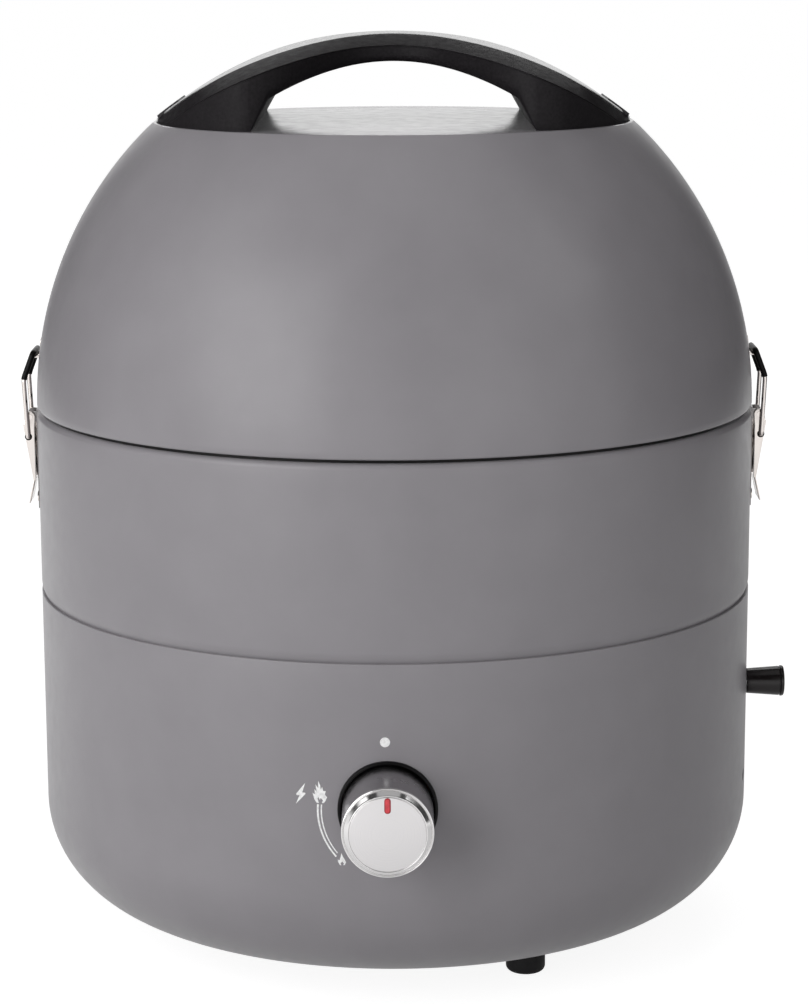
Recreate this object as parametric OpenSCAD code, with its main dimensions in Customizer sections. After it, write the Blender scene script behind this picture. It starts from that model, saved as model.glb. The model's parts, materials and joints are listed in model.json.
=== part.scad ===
// Tabletop gas grill: domed lift-off lid, cooking ring with two draw latches, and a base
// that holds the gas valve and a bay for a gas cartridge.
// Frame: origin on the body's axis at table level, +Z up, control knob at the front (-Y),
// cartridge pull knob at +X. Sizes are in millimetres.

/* [Body] */
// Outer radius of base, ring and lid
body_r = 160; // [150:1:185]
// Sheet thickness of the three shells
wall = 1.5; // [1:0.1:2]
// Height of the base shell
base_h = 143; // [138:1:170]
// Rounding between the base's wall and bottom
base_corner = 47; // [42:1:50]
// Height of the cooking ring
ring_h = 82.5; // [78:0.5:110]
// Width of the flanges inside the ring and base
flange_w = 12; // [11:0.5:14]
// Rounding of the two rims that make the lower groove
lip_r = 2; // [1.2:0.1:2.5]
// Visible gap between the ring and the lid
seam_gap = 1.3; // [0.8:0.1:2]

/* [Feet] */
// Height of a rubber foot
foot_h = 14; // [11:0.5:20]
// Diameter of a rubber foot
foot_d = 17.2; // [14:0.2:20]
// Distance of the feet from the edge of the flat bottom
foot_inset = 11; // [11:0.5:20]
// Direction of the first foot, from the front towards +X
foot_turn = 33.5; // [0:0.5:60]

/* [Lid] */
// Height that the dome's ellipse would reach above the seam
dome_rise = 166.5; // [160:0.5:190]
// Height of the flat top above the seam
top_h = 125; // [115:0.5:135]
// Bevel at the edge of the flat top
crease = 1.2; // [0.5:0.1:2]
// Depth of the locating spigot inside the ring
spigot_h = 8; // [5:0.5:12]

/* [Handle] */
// Height of the handle above the flat top
handle_rise = 38.3; // [36:0.1:44]
// Size of the handle's grip from front to back
grip_depth = 68; // [56:1:84]
// Width of the bevel along the handle's long edges
bevel_w = 9.5; // [4:0.5:12]
// Depth of that bevel
bevel_h = 4.7; // [2:0.1:6]
// Height of the hand opening
grip_h = 26.8; // [24:0.2:28]
// Height at which the opening's arch starts
grip_spring = 13.2; // [10:0.2:15]
// Width of the opening where its arch starts
grip_arch_w = 103.4; // [94:0.2:112]
// Width of the opening on the flat top
grip_foot_w = 118.6; // [115:0.2:126]
// Length of the cover at each end of the handle
cap_len = 17; // [12:0.5:22]
// Width of those covers
cap_w = 40; // [20:1:46]
// How far those covers stand proud
cap_t = 0.8; // [0.5:0.1:1.5]
// Diameter of the handle's screws
handle_screw_d = 5; // [4:0.5:6]
// Length of the screws inside the handle
handle_screw_len = 10; // [6:0.5:11]

/* [Latches] */
// Width of a latch lever over its cheeks
latch_w = 14.8; // [14:0.2:18]
// Thickness of the latch's lever and ears
latch_sheet = 1.2; // [0.8:0.1:1.3]
// Thickness of the latch's back plate
plate_t = 0.9; // [0.6:0.1:1.1]
// Diameter of the latch's hinge pin
latch_pin_d = 2.4; // [1.8:0.1:2.6]
// Diameter of the bail wire
bail_d = 2; // [1.6:0.1:2.2]
// Gap between the bail's legs and the lever's cheeks
bail_clear = 0.8; // [0.8:0.1:2.6]
// Height of the bail's cross bar above the seam
bail_top = 22.6; // [20:0.2:25]
// Length of the lever below its hinge
lever_len = 39.5; // [36:0.5:44]

/* [Knob] */
// Diameter of the control knob
knob_d = 37; // [30:0.5:42]
// Distance of the knob's face from the wall
knob_out = 33; // [28:0.5:38]
// Height of the knob's axis above the base's bottom
knob_up = 82.5; // [74:0.5:86]
// Sideways place of the knob
knob_x = -3.4; // [-8:0.2:8]
// Wall of the black ring round the knob
bezel_t = 1.75; // [1.2:0.05:3]
// Travel of the knob when it is pushed in
knob_travel = 3; // [1:0.5:4]
// Diameter of the valve's stem
stem_d = 6; // [5:0.5:7]

/* [Cartridge bay] */
// Diameter of the cartridge that the bay takes
cartridge_d = 66; // [60:0.5:67]
// Length of the bay's trough
trough_len = 185; // [170:1:188]
// Distance of the trough's axis behind the middle
trough_y = 75; // [72:0.5:76]
// Height of the pull knob above the base's bottom
pull_up = 93.5; // [90:0.5:98]
// Length of the pull knob
pull_len = 17.5; // [14:0.5:24]
// Diameter of the pull knob at the wall
pull_d = 11.4; // [10.6:0.2:14]
// Diameter of the pull knob's end
pull_end_d = 14.8; // [12:0.2:18]
// Diameter of the pull rod
rod_d = 6; // [4:0.5:7]
// Half of the angle that the rear door covers
door_half = 42; // [38:1:46]
// Height of the rear door
door_h = 72; // [66:1:74]

/* [Cooking] */
// Depth of the grate's top below the ring's top
grate_drop = 13; // [10:0.5:18]
// Thickness of the grate
grate_t = 10; // [6:0.5:12]
// Width of a bar of the grate
bar_w = 5; // [4:0.5:7]
// Distance from one bar to the next
bar_pitch = 14; // [11:0.5:18]
// Radius of the burner
burner_r = 48; // [42:1:52]
// Number of ports round the burner
port_count = 24; // [12:1:28]

/* [Vents] */
// Diameter of a vent hole
vent_d = 5.5; // [3:0.5:7]
// Height of the vent holes above the base's bottom
vent_up = 58.5; // [52:0.5:62]

/* [Hidden] */
$fn = 96;
// Clearance all round a running fit
fit = 0.04;
// Clearance between pieces that pass each other
gap = 0.3;
// Overlap that makes cuts clean
eps = 1;

// Fasteners
screw_d = 4;
nut_d = 8;
nut_h = 3;
rivet_d = 3;
rivet_head = 1.8;
small_rivet_d = 2.6;
small_rivet_head = 1.6;

// Levels from the table up
z_bottom = foot_h;
z_floor = z_bottom + wall;
z_base = z_bottom + base_h;
z_seam = z_base + ring_h;
z_ring_top = z_seam - seam_gap / 2;
z_top = z_seam + top_h;
z_fire = z_base + wall;
z_hearth = z_fire + wall;

// Radii
flat_r = body_r - base_corner;
inner_r = body_r - wall;
flange_r = body_r - flange_w;
top_r = body_r * cos(asin(top_h / dome_rise));
bolt_r = inner_r - flange_w / 2 + 1;

// Rubber foot
foot_round = 2.5;
foot_recess_r = 5;
foot_recess_h = 6;

// Locating band inside the lid
band_h = 12;
band_gap = 0.5;
spigot_gap = 1;
spigot_r = flange_r - spigot_gap;
band_r = inner_r - band_gap;

// Handle arc through both ends of the flat top
handle_arc_r = (top_r * top_r + handle_rise * handle_rise) / (2 * handle_rise);
handle_arc_z = z_top + handle_rise - handle_arc_r;
grip_sag = grip_h - grip_spring;
grip_arc_r = (grip_arch_w * grip_arch_w / 4 + grip_sag * grip_sag) / (2 * grip_sag);
handle_end_a = asin(top_r / handle_arc_r);
cap_x = top_r - cap_len * cos(handle_end_a);
handle_screw_x = (grip_foot_w / 2 + top_r) / 2;
handle_screw_y = 0.4 * cap_w;
handle_foot_r = top_r - crease;
shoulder_x = grip_foot_w / 2 + 6;
shoulder_y = sqrt(handle_foot_r * handle_foot_r - shoulder_x * shoulder_x);
handle_tip_a = 2.5;
shoulder_a = acos(shoulder_x / handle_foot_r);
foot_steps = 14;
grip_steps = 18;
washer_t = 1;
screw_head_h = 3;

// Latch places: out from the body's wall, up from the seam
pivot_out = plate_t + 2.9;
pivot_up = -6.5;
bail_pivot_out = pivot_out + 0.8;
bail_pivot_up = pivot_up - 9;
bail_bend_out = pivot_out + 2;
bail_bend_up = bail_top - 11.8;
bail_bar_out = bail_d / 2 + 0.3;
lever_top_out = pivot_out + 3.2;
lever_end_up = pivot_up - lever_len;
tab_up = lever_end_up + 10.5;
tab_out = plate_t + 2;
cheek_y = latch_w / 2 - latch_sheet;
bail_span = latch_w + bail_d + 2 * bail_clear;
pin_half = (bail_span - bail_d) / 2 - 0.4;
ear_y = cheek_y - gap - latch_sheet;
keeper_half = 2.2;
keeper_t = 1;
keeper_low = bail_top - 8.6;
keeper_high = bail_top + 8;
keeper_rivet_up = bail_top + 4.4;
keeper_rivet_y = 3.6;
keeper_tilt = atan(body_r / dome_rise * tan(asin(keeper_rivet_up / dome_rise)));
ledge_up = bail_top - bail_d / 2 - gap;
ledge_t = 1.2;
ledge_half = 6;
plate_bottom = lever_end_up - 2;

// Valve and knob along -Y
knob_z = z_bottom + knob_up;
knob_face_y = -body_r - knob_out;
knob_back_y = -body_r + 2;
bezel_bore = knob_d + 1;
bezel_d = bezel_bore + 2 * bezel_t;
bracket_t = 1.5;
bracket_w = 50;
bracket_foot = 25;
bracket_y = -flat_r + 8;
valve_d = 26;
valve_len = 38;
valve_front_y = bracket_y - valve_len;
plug_d = 14;
plug_len = 24;
plug_back_y = valve_front_y + plug_len + 3;
valve_cap_t = 3;
boss_d = 10;
boss_y = bracket_y - 20;
boss_reach = valve_d / 2 + 3;
stem_flat = stem_d / 2 - 1;
piezo_d = 16;
piezo_len = 30;
piezo_back_y = bracket_y + bracket_t + piezo_len;
knob_chamfer_r = 3.2;
knob_chamfer_y = 2.8;
face_lip = 0.4;
face_d = knob_d - 2 * knob_chamfer_r - 2 * face_lip;
face_t = 1.2;
stem_end_y = knob_face_y + 10;
pointer_w = 2.6;
pointer_low = 8.4;
pointer_high = face_d / 2 - 0.2;
bezel_in = 10;
bezel_out = 1.5;

// Cartridge bay
trough_r = cartridge_d / 2 + 1.5;
trough_z = z_floor + trough_r + 12;
trough_x1 = trough_len / 2 + 2.5;
trough_x0 = trough_x1 - trough_len;
saddle_x = 55;
end_plate_t = 2;
pull_z = z_bottom + pull_up;
carriage_t = 4;
carriage_h = 14;
carriage_x1 = trough_x1 + 3;
carriage_x0 = trough_x0 - 18;
carriage_y = trough_y - trough_r - 4.5;
guide_t = 2;
guide_w = 16;
regulator_d = 40;
regulator_len = 21;
regulator_x = trough_x1 + end_plate_t;
outlet_x = regulator_x + 11;
outlet_reach = regulator_d / 2 + 3;
pipe_d = 6;

// Rear door
door_z = z_bottom + base_corner;
back_a = 90;
hinge_a = back_a - door_half;
door_free_a = back_a + door_half;
door_knob_a = door_free_a - 6;
door_seam = 0.6;
door_gap = door_seam / body_r * 180 / PI;
leaf_t = 0.9;
hinge_out = 2.8;
hinge_d = 5;
hinge_pin_d = 2;
hinge_h = 14;
hinge_z = door_z + door_h / 2 - 1.5 * hinge_h;
leaf_a = 6;

// Vent holes: direction of the first one on the right, and the angle between two
vent_turn = -12;
vent_step = 9.5;

// Burner stack
post_h = 12;
burner_z = z_hearth + post_h;
burner_h = 14;
burner_wall = 3;
throat_r = 7;
bell_r = 12;
bell_h = 4;
throat_len = 22;
tube_t = 1.5;
post_d = 8;
port_d = 2.4;
cap_h = 4;
tamer_r = burner_r + 27;
tamer_z = burner_z + burner_h + cap_h + 8;
tamer_rise = 10;
leg_r = burner_r + 18;
venturi_len = 30;
jet_h = 10;
jet_d = 12;
jet_tip_d = 5;
jet_tip = 3;
jet_air = 6;
jet_z = burner_z - venturi_len - jet_air - jet_tip - jet_h;
spark_x = burner_r + 10;
spark_d = 8;
spark_h = 30;
spark_z = z_hearth - 8;
tray_r0 = tamer_r + 7;
tray_r1 = bolt_r - 7;
tray_h = 12;
tray_t = 1.2;
grate_r = flange_r - 10;
grate_rim = 9;
grate_z = z_ring_top - grate_drop - grate_t;
rest_in = grate_r - 8;
rest_out = inner_r - gap / 2;
rest_t = 2;
rest_h = 20;
rest_half = 4;

// Points of an arc
function arc(cx, cy, r, a0, a1, n = 12) =
    [for (i = [0:n]) let (a = a0 + (a1 - a0) * i / n) [cx + r * cos(a), cy + r * sin(a)]];

// Points of the dome's ellipse between two heights above the seam, moved in by off
function dome(off, h0, h1, n = 36) =
    let (rise = dome_rise - off, a0 = asin(h0 / rise), a1 = asin(h1 / rise))
    [for (i = [0:n]) let (a = a0 + (a1 - a0) * i / n)
        [(body_r - off) * cos(a), z_seam + rise * sin(a)]];

// Radius of the dome at a height above the seam
function dome_r(h) = body_r * cos(asin(h / dome_rise));

// The same list from its end to its start
function turned(points) = [for (i = [len(points) - 1:-1:0]) points[i]];

// Round bar along Y, from its back end to its front end
module bar_y(x, z, back, front, d) {
    translate([x, back, z]) rotate([90, 0, 0]) cylinder(d = d, h = back - front);
}

// Round bar along X
module bar_x(y, z, x0, x1, d) {
    translate([x0, y, z]) rotate([0, 90, 0]) cylinder(d = d, h = x1 - x0);
}

// Round bar from one point to another
module bar(a, b, d) {
    v = b - a;
    translate(a) rotate([0, acos(v.z / norm(v)), atan2(v.y, v.x)]) cylinder(d = d, h = norm(v));
}

// Bent round bar with a ball at each bend
module bent_bar(points, d) {
    for (i = [0:len(points) - 2]) bar(points[i], points[i + 1], d);
    for (i = [1:len(points) - 2]) translate(points[i]) sphere(d = d * 1.04);
}

// Box from its lowest to its highest corner
module box(low, high) {
    translate(low) cube(high - low);
}

// Piece of a ring round the Z axis
module sector(r0, r1, z0, z1, a0, a1) {
    rotate([0, 0, a0]) rotate_extrude(angle = a1 - a0)
        translate([r0, z0]) square([r1 - r0, z1 - z0]);
}

// Left pieces are the right ones mirrored
module side(s) {
    if (s > 0) children();
    else mirror([1, 0, 0]) children();
}

// Outline in the XZ plane, made y0 to y1 deep, placed from the wall and the seam
module latch_sheet_of(points, y0, y1) {
    translate([body_r, y1, z_seam]) rotate([90, 0, 0]) linear_extrude(y1 - y0) polygon(points);
}

// Places that repeat
module foot_places() {
    for (k = [0:2]) rotate([0, 0, -90 + foot_turn + 120 * k])
        translate([flat_r - foot_inset, 0, 0]) children();
}

module bolt_places() {
    for (k = [0:5]) rotate([0, 0, 60 * k]) translate([bolt_r, 0, 0]) children();
}

module three_round(r, turn) {
    for (k = [0:2]) rotate([0, 0, turn + 120 * k]) translate([r, 0, 0]) children();
}

module vent_holes() {
    for (a = concat([for (k = [0:4]) vent_turn + k * vent_step],
        [for (k = [0:3]) 180 - k * vent_step]))
        rotate([0, 0, a]) bar_x(0, z_bottom + vent_up, inner_r - 5, body_r + 5, vent_d);
}

// Shells
module base_shell() color("dimgray") difference() {
    rotate_extrude() polygon(concat(
        [[0, z_bottom]],
        arc(flat_r, z_bottom + base_corner, base_corner, -90, 0, 16),
        arc(body_r - lip_r, z_base - lip_r, lip_r, 0, 90, 6),
        [[flange_r, z_base], [flange_r, z_base - wall], [inner_r, z_base - wall]],
        arc(flat_r, z_bottom + base_corner, base_corner - wall, 0, -90, 16),
        [[0, z_floor]]));
    bar_y(knob_x, knob_z, -body_r + base_corner, -body_r - eps, bezel_d + 2 * fit);
    bar_x(0, pull_z, inner_r - 5, body_r + eps, pull_d - 1.4 + 2 * fit);
    vent_holes();
    sector(inner_r - eps, body_r + eps, door_z, door_z + door_h, hinge_a, door_free_a);
    foot_places() translate([0, 0, z_bottom - eps]) cylinder(d = screw_d + 2 * fit, h = wall + 2 * eps);
    bolt_places() translate([0, 0, z_base - wall - eps])
        cylinder(d = screw_d + 2 * fit, h = wall + 2 * eps);
}

module ring_shell() color("dimgray") difference() {
    rotate_extrude() polygon(concat(
        [[flange_r, z_base]],
        arc(body_r - lip_r, z_base + lip_r, lip_r, -90, 0, 6),
        [[body_r, z_ring_top - wall / 2], [body_r - wall / 2, z_ring_top], [flange_r, z_ring_top],
            [flange_r, z_ring_top - wall], [inner_r, z_ring_top - wall], [inner_r, z_fire],
            [flange_r, z_fire]]));
    bolt_places() translate([0, 0, z_base - eps]) cylinder(d = screw_d + 2 * fit, h = wall + 2 * eps);
    for (s = [-1, 1]) side(s) latch_rivet_places() bar_x(0, 0, -wall - eps, eps, rivet_d + 2 * fit);
}

module rubber_feet() color("black") foot_places() rotate_extrude() polygon(concat(
    [[foot_recess_r, 0]],
    arc(foot_d / 2 - foot_round, foot_round, foot_round, -90, 0, 6),
    [[foot_d / 2, z_bottom], [screw_d / 2 + fit, z_bottom],
        [screw_d / 2 + fit, foot_recess_h], [foot_recess_r, foot_recess_h]]));

module foot_screws() color("silver") foot_places() {
    translate([0, 0, foot_recess_h - nut_h]) cylinder(d = nut_d, h = nut_h);
    translate([0, 0, foot_recess_h - eps])
        cylinder(d = screw_d, h = z_floor + nut_h + 2 * eps - foot_recess_h);
    translate([0, 0, z_floor]) cylinder(d = nut_d, h = nut_h);
}

module rim_bolts() color("silver") bolt_places() {
    translate([0, 0, z_base - wall - nut_h]) cylinder(d = nut_d, h = nut_h);
    translate([0, 0, z_base - wall - eps]) cylinder(d = screw_d, h = 3 * wall + nut_h + 2 * eps);
    translate([0, 0, z_hearth]) cylinder(d = nut_d, h = nut_h);
}

// Hearth
module fire_floor() color("gray") difference() {
    translate([0, 0, z_fire]) cylinder(r = inner_r - 1, h = wall);
    translate([0, 0, z_fire - eps]) cylinder(r = throat_r + 6, h = wall + 2 * eps);
    translate([spark_x, 0, z_fire - eps]) cylinder(d = spark_d + 2 * fit, h = wall + 2 * eps);
    bolt_places() translate([0, 0, z_fire - eps]) cylinder(d = screw_d + 2 * fit, h = wall + 2 * eps);
}

module drip_tray() color("silver") rotate_extrude() polygon([
    [tray_r0, z_hearth], [tray_r1, z_hearth], [tray_r1, z_hearth + tray_h],
    [tray_r1 - tray_t, z_hearth + tray_h], [tray_r1 - tray_t, z_hearth + tray_t],
    [tray_r0 + tray_t, z_hearth + tray_t], [tray_r0 + tray_t, z_hearth + tray_h],
    [tray_r0, z_hearth + tray_h]]);

module burner_posts() color("silver") three_round(burner_r - 12, 30)
    translate([0, 0, z_hearth]) cylinder(d = post_d, h = post_h);

module burner_head() color("silver") difference() {
    translate([0, 0, burner_z]) cylinder(r = burner_r, h = burner_h);
    translate([0, 0, burner_z + burner_wall]) cylinder(r = burner_r - burner_wall, h = burner_h);
    translate([0, 0, burner_z - eps]) cylinder(r = throat_r + fit, h = burner_wall + 2 * eps);
    for (k = [0:port_count - 1]) rotate([0, 0, 360 * (k + 0.5) / port_count])
        bar_x(0, burner_z + burner_h - 5, burner_r - 2 * burner_wall, burner_r + eps, port_d);
}

module burner_cap() color("dimgray") {
    translate([0, 0, burner_z + burner_h]) cylinder(r = burner_r + 1, h = cap_h);
    translate([0, 0, burner_z + burner_h - 2]) cylinder(r = burner_r - burner_wall - 0.5, h = 3);
}

module venturi_tube() color("silver") rotate_extrude() polygon([
    [bell_r, burner_z - venturi_len], [bell_r, burner_z - venturi_len + bell_h],
    [throat_r + tube_t, burner_z - throat_len], [throat_r + tube_t, burner_z],
    [throat_r, burner_z], [throat_r, burner_z + burner_wall],
    [throat_r - tube_t, burner_z + burner_wall], [throat_r - tube_t, burner_z - throat_len],
    [bell_r - tube_t, burner_z - venturi_len + bell_h], [bell_r - tube_t, burner_z - venturi_len]]);

module gas_jet() color("goldenrod") {
    translate([0, 0, jet_z]) cylinder(d = jet_d, h = jet_h);
    translate([0, 0, jet_z + jet_h]) cylinder(d = jet_tip_d, h = jet_tip);
}

module flame_tamer() color("silver") {
    rotate_extrude() polygon([[0, tamer_z + tamer_rise], [tamer_r, tamer_z],
        [tamer_r, tamer_z + wall], [0, tamer_z + tamer_rise + wall]]);
    three_round(leg_r, 30) translate([0, 0, z_hearth])
        cylinder(d = 5, h = tamer_z - z_hearth + tamer_rise * (1 - leg_r / tamer_r) + 0.7);
}

module grate_rests() color("gray") for (k = [0:2])
    rotate([0, 0, 30 + 120 * k - rest_half]) rotate_extrude(angle = 2 * rest_half) polygon([
        [rest_in, grate_z - rest_t], [rest_out - rest_t, grate_z - rest_t],
        [rest_out - rest_t, grate_z - rest_h], [rest_out, grate_z - rest_h],
        [rest_out, grate_z], [rest_in, grate_z]]);

module grill_grate() color("black") translate([0, 0, grate_z]) linear_extrude(grate_t) difference() {
    circle(r = grate_r);
    intersection() {
        circle(r = grate_r - grate_rim);
        for (x = [-10 * bar_pitch:bar_pitch:10 * bar_pitch])
            translate([x + bar_w / 2, -grate_r]) square([bar_pitch - bar_w, grate_r - bar_w / 2]);
    }
    intersection() {
        circle(r = grate_r - grate_rim);
        for (x = [-10 * bar_pitch:bar_pitch:10 * bar_pitch])
            translate([x + bar_w / 2, bar_w / 2]) square([bar_pitch - bar_w, grate_r]);
    }
}

// Ignition
module spark_insulator() color("white") {
    translate([spark_x, 0, spark_z]) cylinder(d = spark_d, h = spark_h);
    translate([spark_x, 0, z_hearth]) cylinder(d = spark_d + 3, h = 2);
}

module spark_electrode() color("silver") {
    tip = spark_z + spark_h + 9;
    bent_bar([[spark_x, 0, spark_z + spark_h], [spark_x, 0, tip], [burner_r + 4, 0, tip]], 2);
}

module ignition_lead() color("black") bent_bar([
    [knob_x, piezo_back_y, knob_z], [knob_x, piezo_back_y + 14, knob_z],
    [spark_x - 8, -40, spark_z - 26], [spark_x, 0, spark_z - 12], [spark_x, 0, spark_z]], 3);

module piezo_igniter() color("black")
    bar_y(knob_x, knob_z, piezo_back_y, bracket_y + bracket_t, piezo_d);

// Valve and knob
module valve_bracket() color("silver") {
    half = bracket_w / 2;
    low = [knob_x - half, bracket_y, z_floor];
    box(low, [knob_x + half, bracket_y + bracket_t, knob_z + valve_d / 2 + 1]);
    box(low, [knob_x + half, bracket_y + bracket_foot, z_floor + bracket_t]);
}

module valve_body() color("goldenrod") difference() {
    union() {
        bar_y(knob_x, knob_z, bracket_y, valve_front_y, valve_d);
        translate([knob_x, boss_y, knob_z]) cylinder(d = boss_d, h = boss_reach);
        bar_x(boss_y, knob_z, knob_x, knob_x + boss_reach, boss_d);
    }
    bar_y(knob_x, knob_z, plug_back_y + 1, valve_front_y - eps, plug_d + 2 * fit);
}

module valve_cap() color("goldenrod") difference() {
    bar_y(knob_x, knob_z, valve_front_y, valve_front_y - valve_cap_t, valve_d);
    bar_y(knob_x, knob_z, valve_front_y + eps, valve_front_y - valve_cap_t - eps, stem_d + 1);
}

// Stem's round with one flat, grown by a clearance
module stem_shape(back, front, grow) intersection() {
    bar_y(knob_x, knob_z, back, front, stem_d + 2 * grow);
    box([knob_x - stem_d, front - eps, knob_z - stem_d],
        [knob_x + stem_d, back + eps, knob_z + stem_flat + grow]);
}

module valve_plug() color("goldenrod") difference() {
    bar_y(knob_x, knob_z, plug_back_y, plug_back_y - plug_len, plug_d);
    stem_shape(plug_back_y - 2, plug_back_y - plug_len - eps, fit);
}

module valve_stem() color("silver")
    stem_shape(plug_back_y - 3 - knob_travel, stem_end_y, 0);

module knob_bezel() color("black") difference() {
    bar_y(knob_x, knob_z, -body_r + bezel_in, -body_r - bezel_out, bezel_d);
    bar_y(knob_x, knob_z, -body_r + bezel_in + eps, -body_r - bezel_out - eps, bezel_bore);
}

module knob() color("silver") difference() {
    length = knob_back_y - knob_face_y;
    translate([knob_x, knob_back_y, knob_z]) rotate([90, 0, 0]) rotate_extrude() polygon([
        [0, 0], [knob_d / 2, 0], [knob_d / 2, length - knob_chamfer_y],
        [knob_d / 2 - knob_chamfer_r, length],
        [face_d / 2 + fit, length], [face_d / 2 + fit, length - face_t], [0, length - face_t]]);
    stem_shape(knob_back_y + eps, stem_end_y - fit, fit);
}

module knob_face() color("gainsboro")
    bar_y(knob_x, knob_z, knob_face_y + face_t, knob_face_y + 0.1, face_d);

module knob_pointer() color("red")
    box([knob_x - pointer_w / 2, knob_face_y - 0.2, knob_z + pointer_low],
        [knob_x + pointer_w / 2, knob_face_y + 0.1, knob_z + pointer_high]);

// Gas way
module burner_pipe() color("peru") bent_bar([
    [knob_x, boss_y, knob_z + boss_reach], [knob_x, boss_y, jet_z - 4],
    [0, 0, jet_z - 4], [0, 0, jet_z]], pipe_d);

module supply_pipe() color("peru") bent_bar([
    [outlet_x, trough_y - outlet_reach, trough_z], [outlet_x, boss_y / 2, trough_z],
    [outlet_x - 36, boss_y + 6, trough_z + 14], [knob_x + boss_reach + 10, boss_y, knob_z],
    [knob_x + boss_reach, boss_y, knob_z]], pipe_d);

module regulator() color("silver") difference() {
    union() {
        bar_x(trough_y, trough_z, regulator_x, regulator_x + regulator_len, regulator_d);
        bar_x(trough_y, trough_z, regulator_x, regulator_x + regulator_len + 7, 14);
        bar_y(outlet_x, trough_z, trough_y, trough_y - outlet_reach, boss_d);
    }
    bar_x(trough_y, trough_z, regulator_x - eps, regulator_x + 10, 16);
}

// Cartridge bay
module cartridge_cradle() color("gray") difference() {
    union() {
        bar_x(trough_y, trough_z, trough_x0, trough_x1, 2 * (trough_r + wall));
        for (x = [-saddle_x, saddle_x])
            box([x - 1.5, trough_y - 20, z_floor], [x + 1.5, trough_y + 20, trough_z]);
        box([trough_x1, trough_y - 30, trough_z - 30],
            [trough_x1 + end_plate_t, trough_y + 28, trough_z + 36]);
    }
    bar_x(trough_y, trough_z, trough_x0 - eps, trough_x1, 2 * trough_r);
    bar_x(trough_y, trough_z, trough_x1 - eps, trough_x1 + end_plate_t + eps, 38);
    box([trough_x0 - eps, 0, trough_z], [trough_x1, 2 * trough_y, z_base]);
}

module carriage_guides() color("silver") for (x = [-saddle_x, saddle_x]) {
    low = pull_z - carriage_h / 2 - gap;
    y0 = carriage_y - gap;
    y1 = carriage_y + carriage_t + gap;
    box([x - guide_w / 2, y0 - guide_t, low - guide_t], [x + guide_w / 2, y1, low]);
    box([x - guide_w / 2, y0 - guide_t, low - guide_t], [x + guide_w / 2, y0, low + carriage_h]);
    box([x - guide_w / 2, y1, low - guide_t], [x + guide_w / 2, y1 + guide_t, low + carriage_h]);
    box([x - guide_w / 2, y0 - guide_t, z_floor], [x + guide_w / 2, y0, low]);
}

module lock_carriage() color("silver") {
    low = pull_z - carriage_h / 2;
    high = pull_z + carriage_h / 2;
    box([carriage_x1 - carriage_t, -8, low], [carriage_x1, carriage_y + carriage_t, high]);
    box([carriage_x0, carriage_y, low], [carriage_x1, carriage_y + carriage_t, high]);
    box([carriage_x0, carriage_y, trough_z + 1], [carriage_x0 + carriage_t, trough_y + 16, high]);
}

module pull_rod() color("silver") bar_x(0, pull_z, carriage_x1, body_r + pull_len - 6, rod_d);

module pull_knob() color("black") difference() {
    translate([body_r + 1.2, 0, pull_z]) rotate([0, 90, 0]) rotate_extrude() polygon(concat(
        [[0, 0], [pull_d / 2, 0]],
        arc(pull_end_d / 2 - 2, pull_len - 2, 2, 0, 90, 6),
        [[0, pull_len]]));
    bar_x(0, pull_z, body_r, body_r + pull_len - 6 + fit, rod_d + 2 * fit);
}

module rod_bush() color("black") difference() {
    union() {
        bar_x(0, pull_z, inner_r - 8, body_r + 0.6, pull_d - 1.4);
        bar_x(0, pull_z, inner_r - 5, inner_r - 0.2, pull_d + 3);
    }
    bar_x(0, pull_z, inner_r - 9, body_r + 2, rod_d + 2 * fit);
}

// Rear door
module hinge_axis() {
    rotate([0, 0, hinge_a]) translate([body_r + hinge_out, 0, 0]) children();
}

module cartridge_door() color("dimgray") difference() {
    union() {
        sector(inner_r, body_r, door_z + door_seam, door_z + door_h - door_seam,
            hinge_a + door_gap, door_free_a - door_gap);
        sector(body_r - eps / 2, body_r + leaf_t, hinge_z + hinge_h + gap, hinge_z + 2 * hinge_h - gap,
            hinge_a + door_gap, hinge_a + leaf_a);
        hinge_axis() translate([0, 0, hinge_z + hinge_h + gap])
            cylinder(d = hinge_d, h = hinge_h - 2 * gap);
    }
    hinge_axis() translate([0, 0, hinge_z]) cylinder(d = hinge_pin_d + 2 * fit, h = 3 * hinge_h);
    for (k = [-4:4]) rotate([0, 0, back_a + 5 * k])
        bar_x(0, z_bottom + vent_up, inner_r - 5, body_r + 5, vent_d);
    rotate([0, 0, door_knob_a])
        bar_x(0, door_z + door_h / 2, inner_r - 5, body_r + 5, screw_d + 2 * fit);
}

module door_knob() color("black") rotate([0, 0, door_knob_a]) {
    bar_x(0, door_z + door_h / 2, inner_r - 2, body_r + 2, screw_d);
    translate([body_r + 0.4, 0, door_z + door_h / 2]) rotate([0, 90, 0]) rotate_extrude() polygon(concat(
        [[0, 0], [4, 0]], arc(4.5, 8, 2, 0, 90, 6), [[0, 10]]));
}

module door_hinge_leaf() color("silver") difference() {
    union() for (k = [0, 2]) {
        sector(body_r + fit, body_r + leaf_t, hinge_z + k * hinge_h, hinge_z + (k + 1) * hinge_h,
            hinge_a - leaf_a, hinge_a);
        hinge_axis() translate([0, 0, hinge_z + k * hinge_h]) cylinder(d = hinge_d, h = hinge_h);
    }
    hinge_axis() translate([0, 0, hinge_z - eps]) cylinder(d = hinge_pin_d, h = 3 * hinge_h + 2 * eps);
}

module door_hinge_pin() color("silver")
    hinge_axis() translate([0, 0, hinge_z - 0.5]) cylinder(d = hinge_pin_d, h = 3 * hinge_h + 1);

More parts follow.
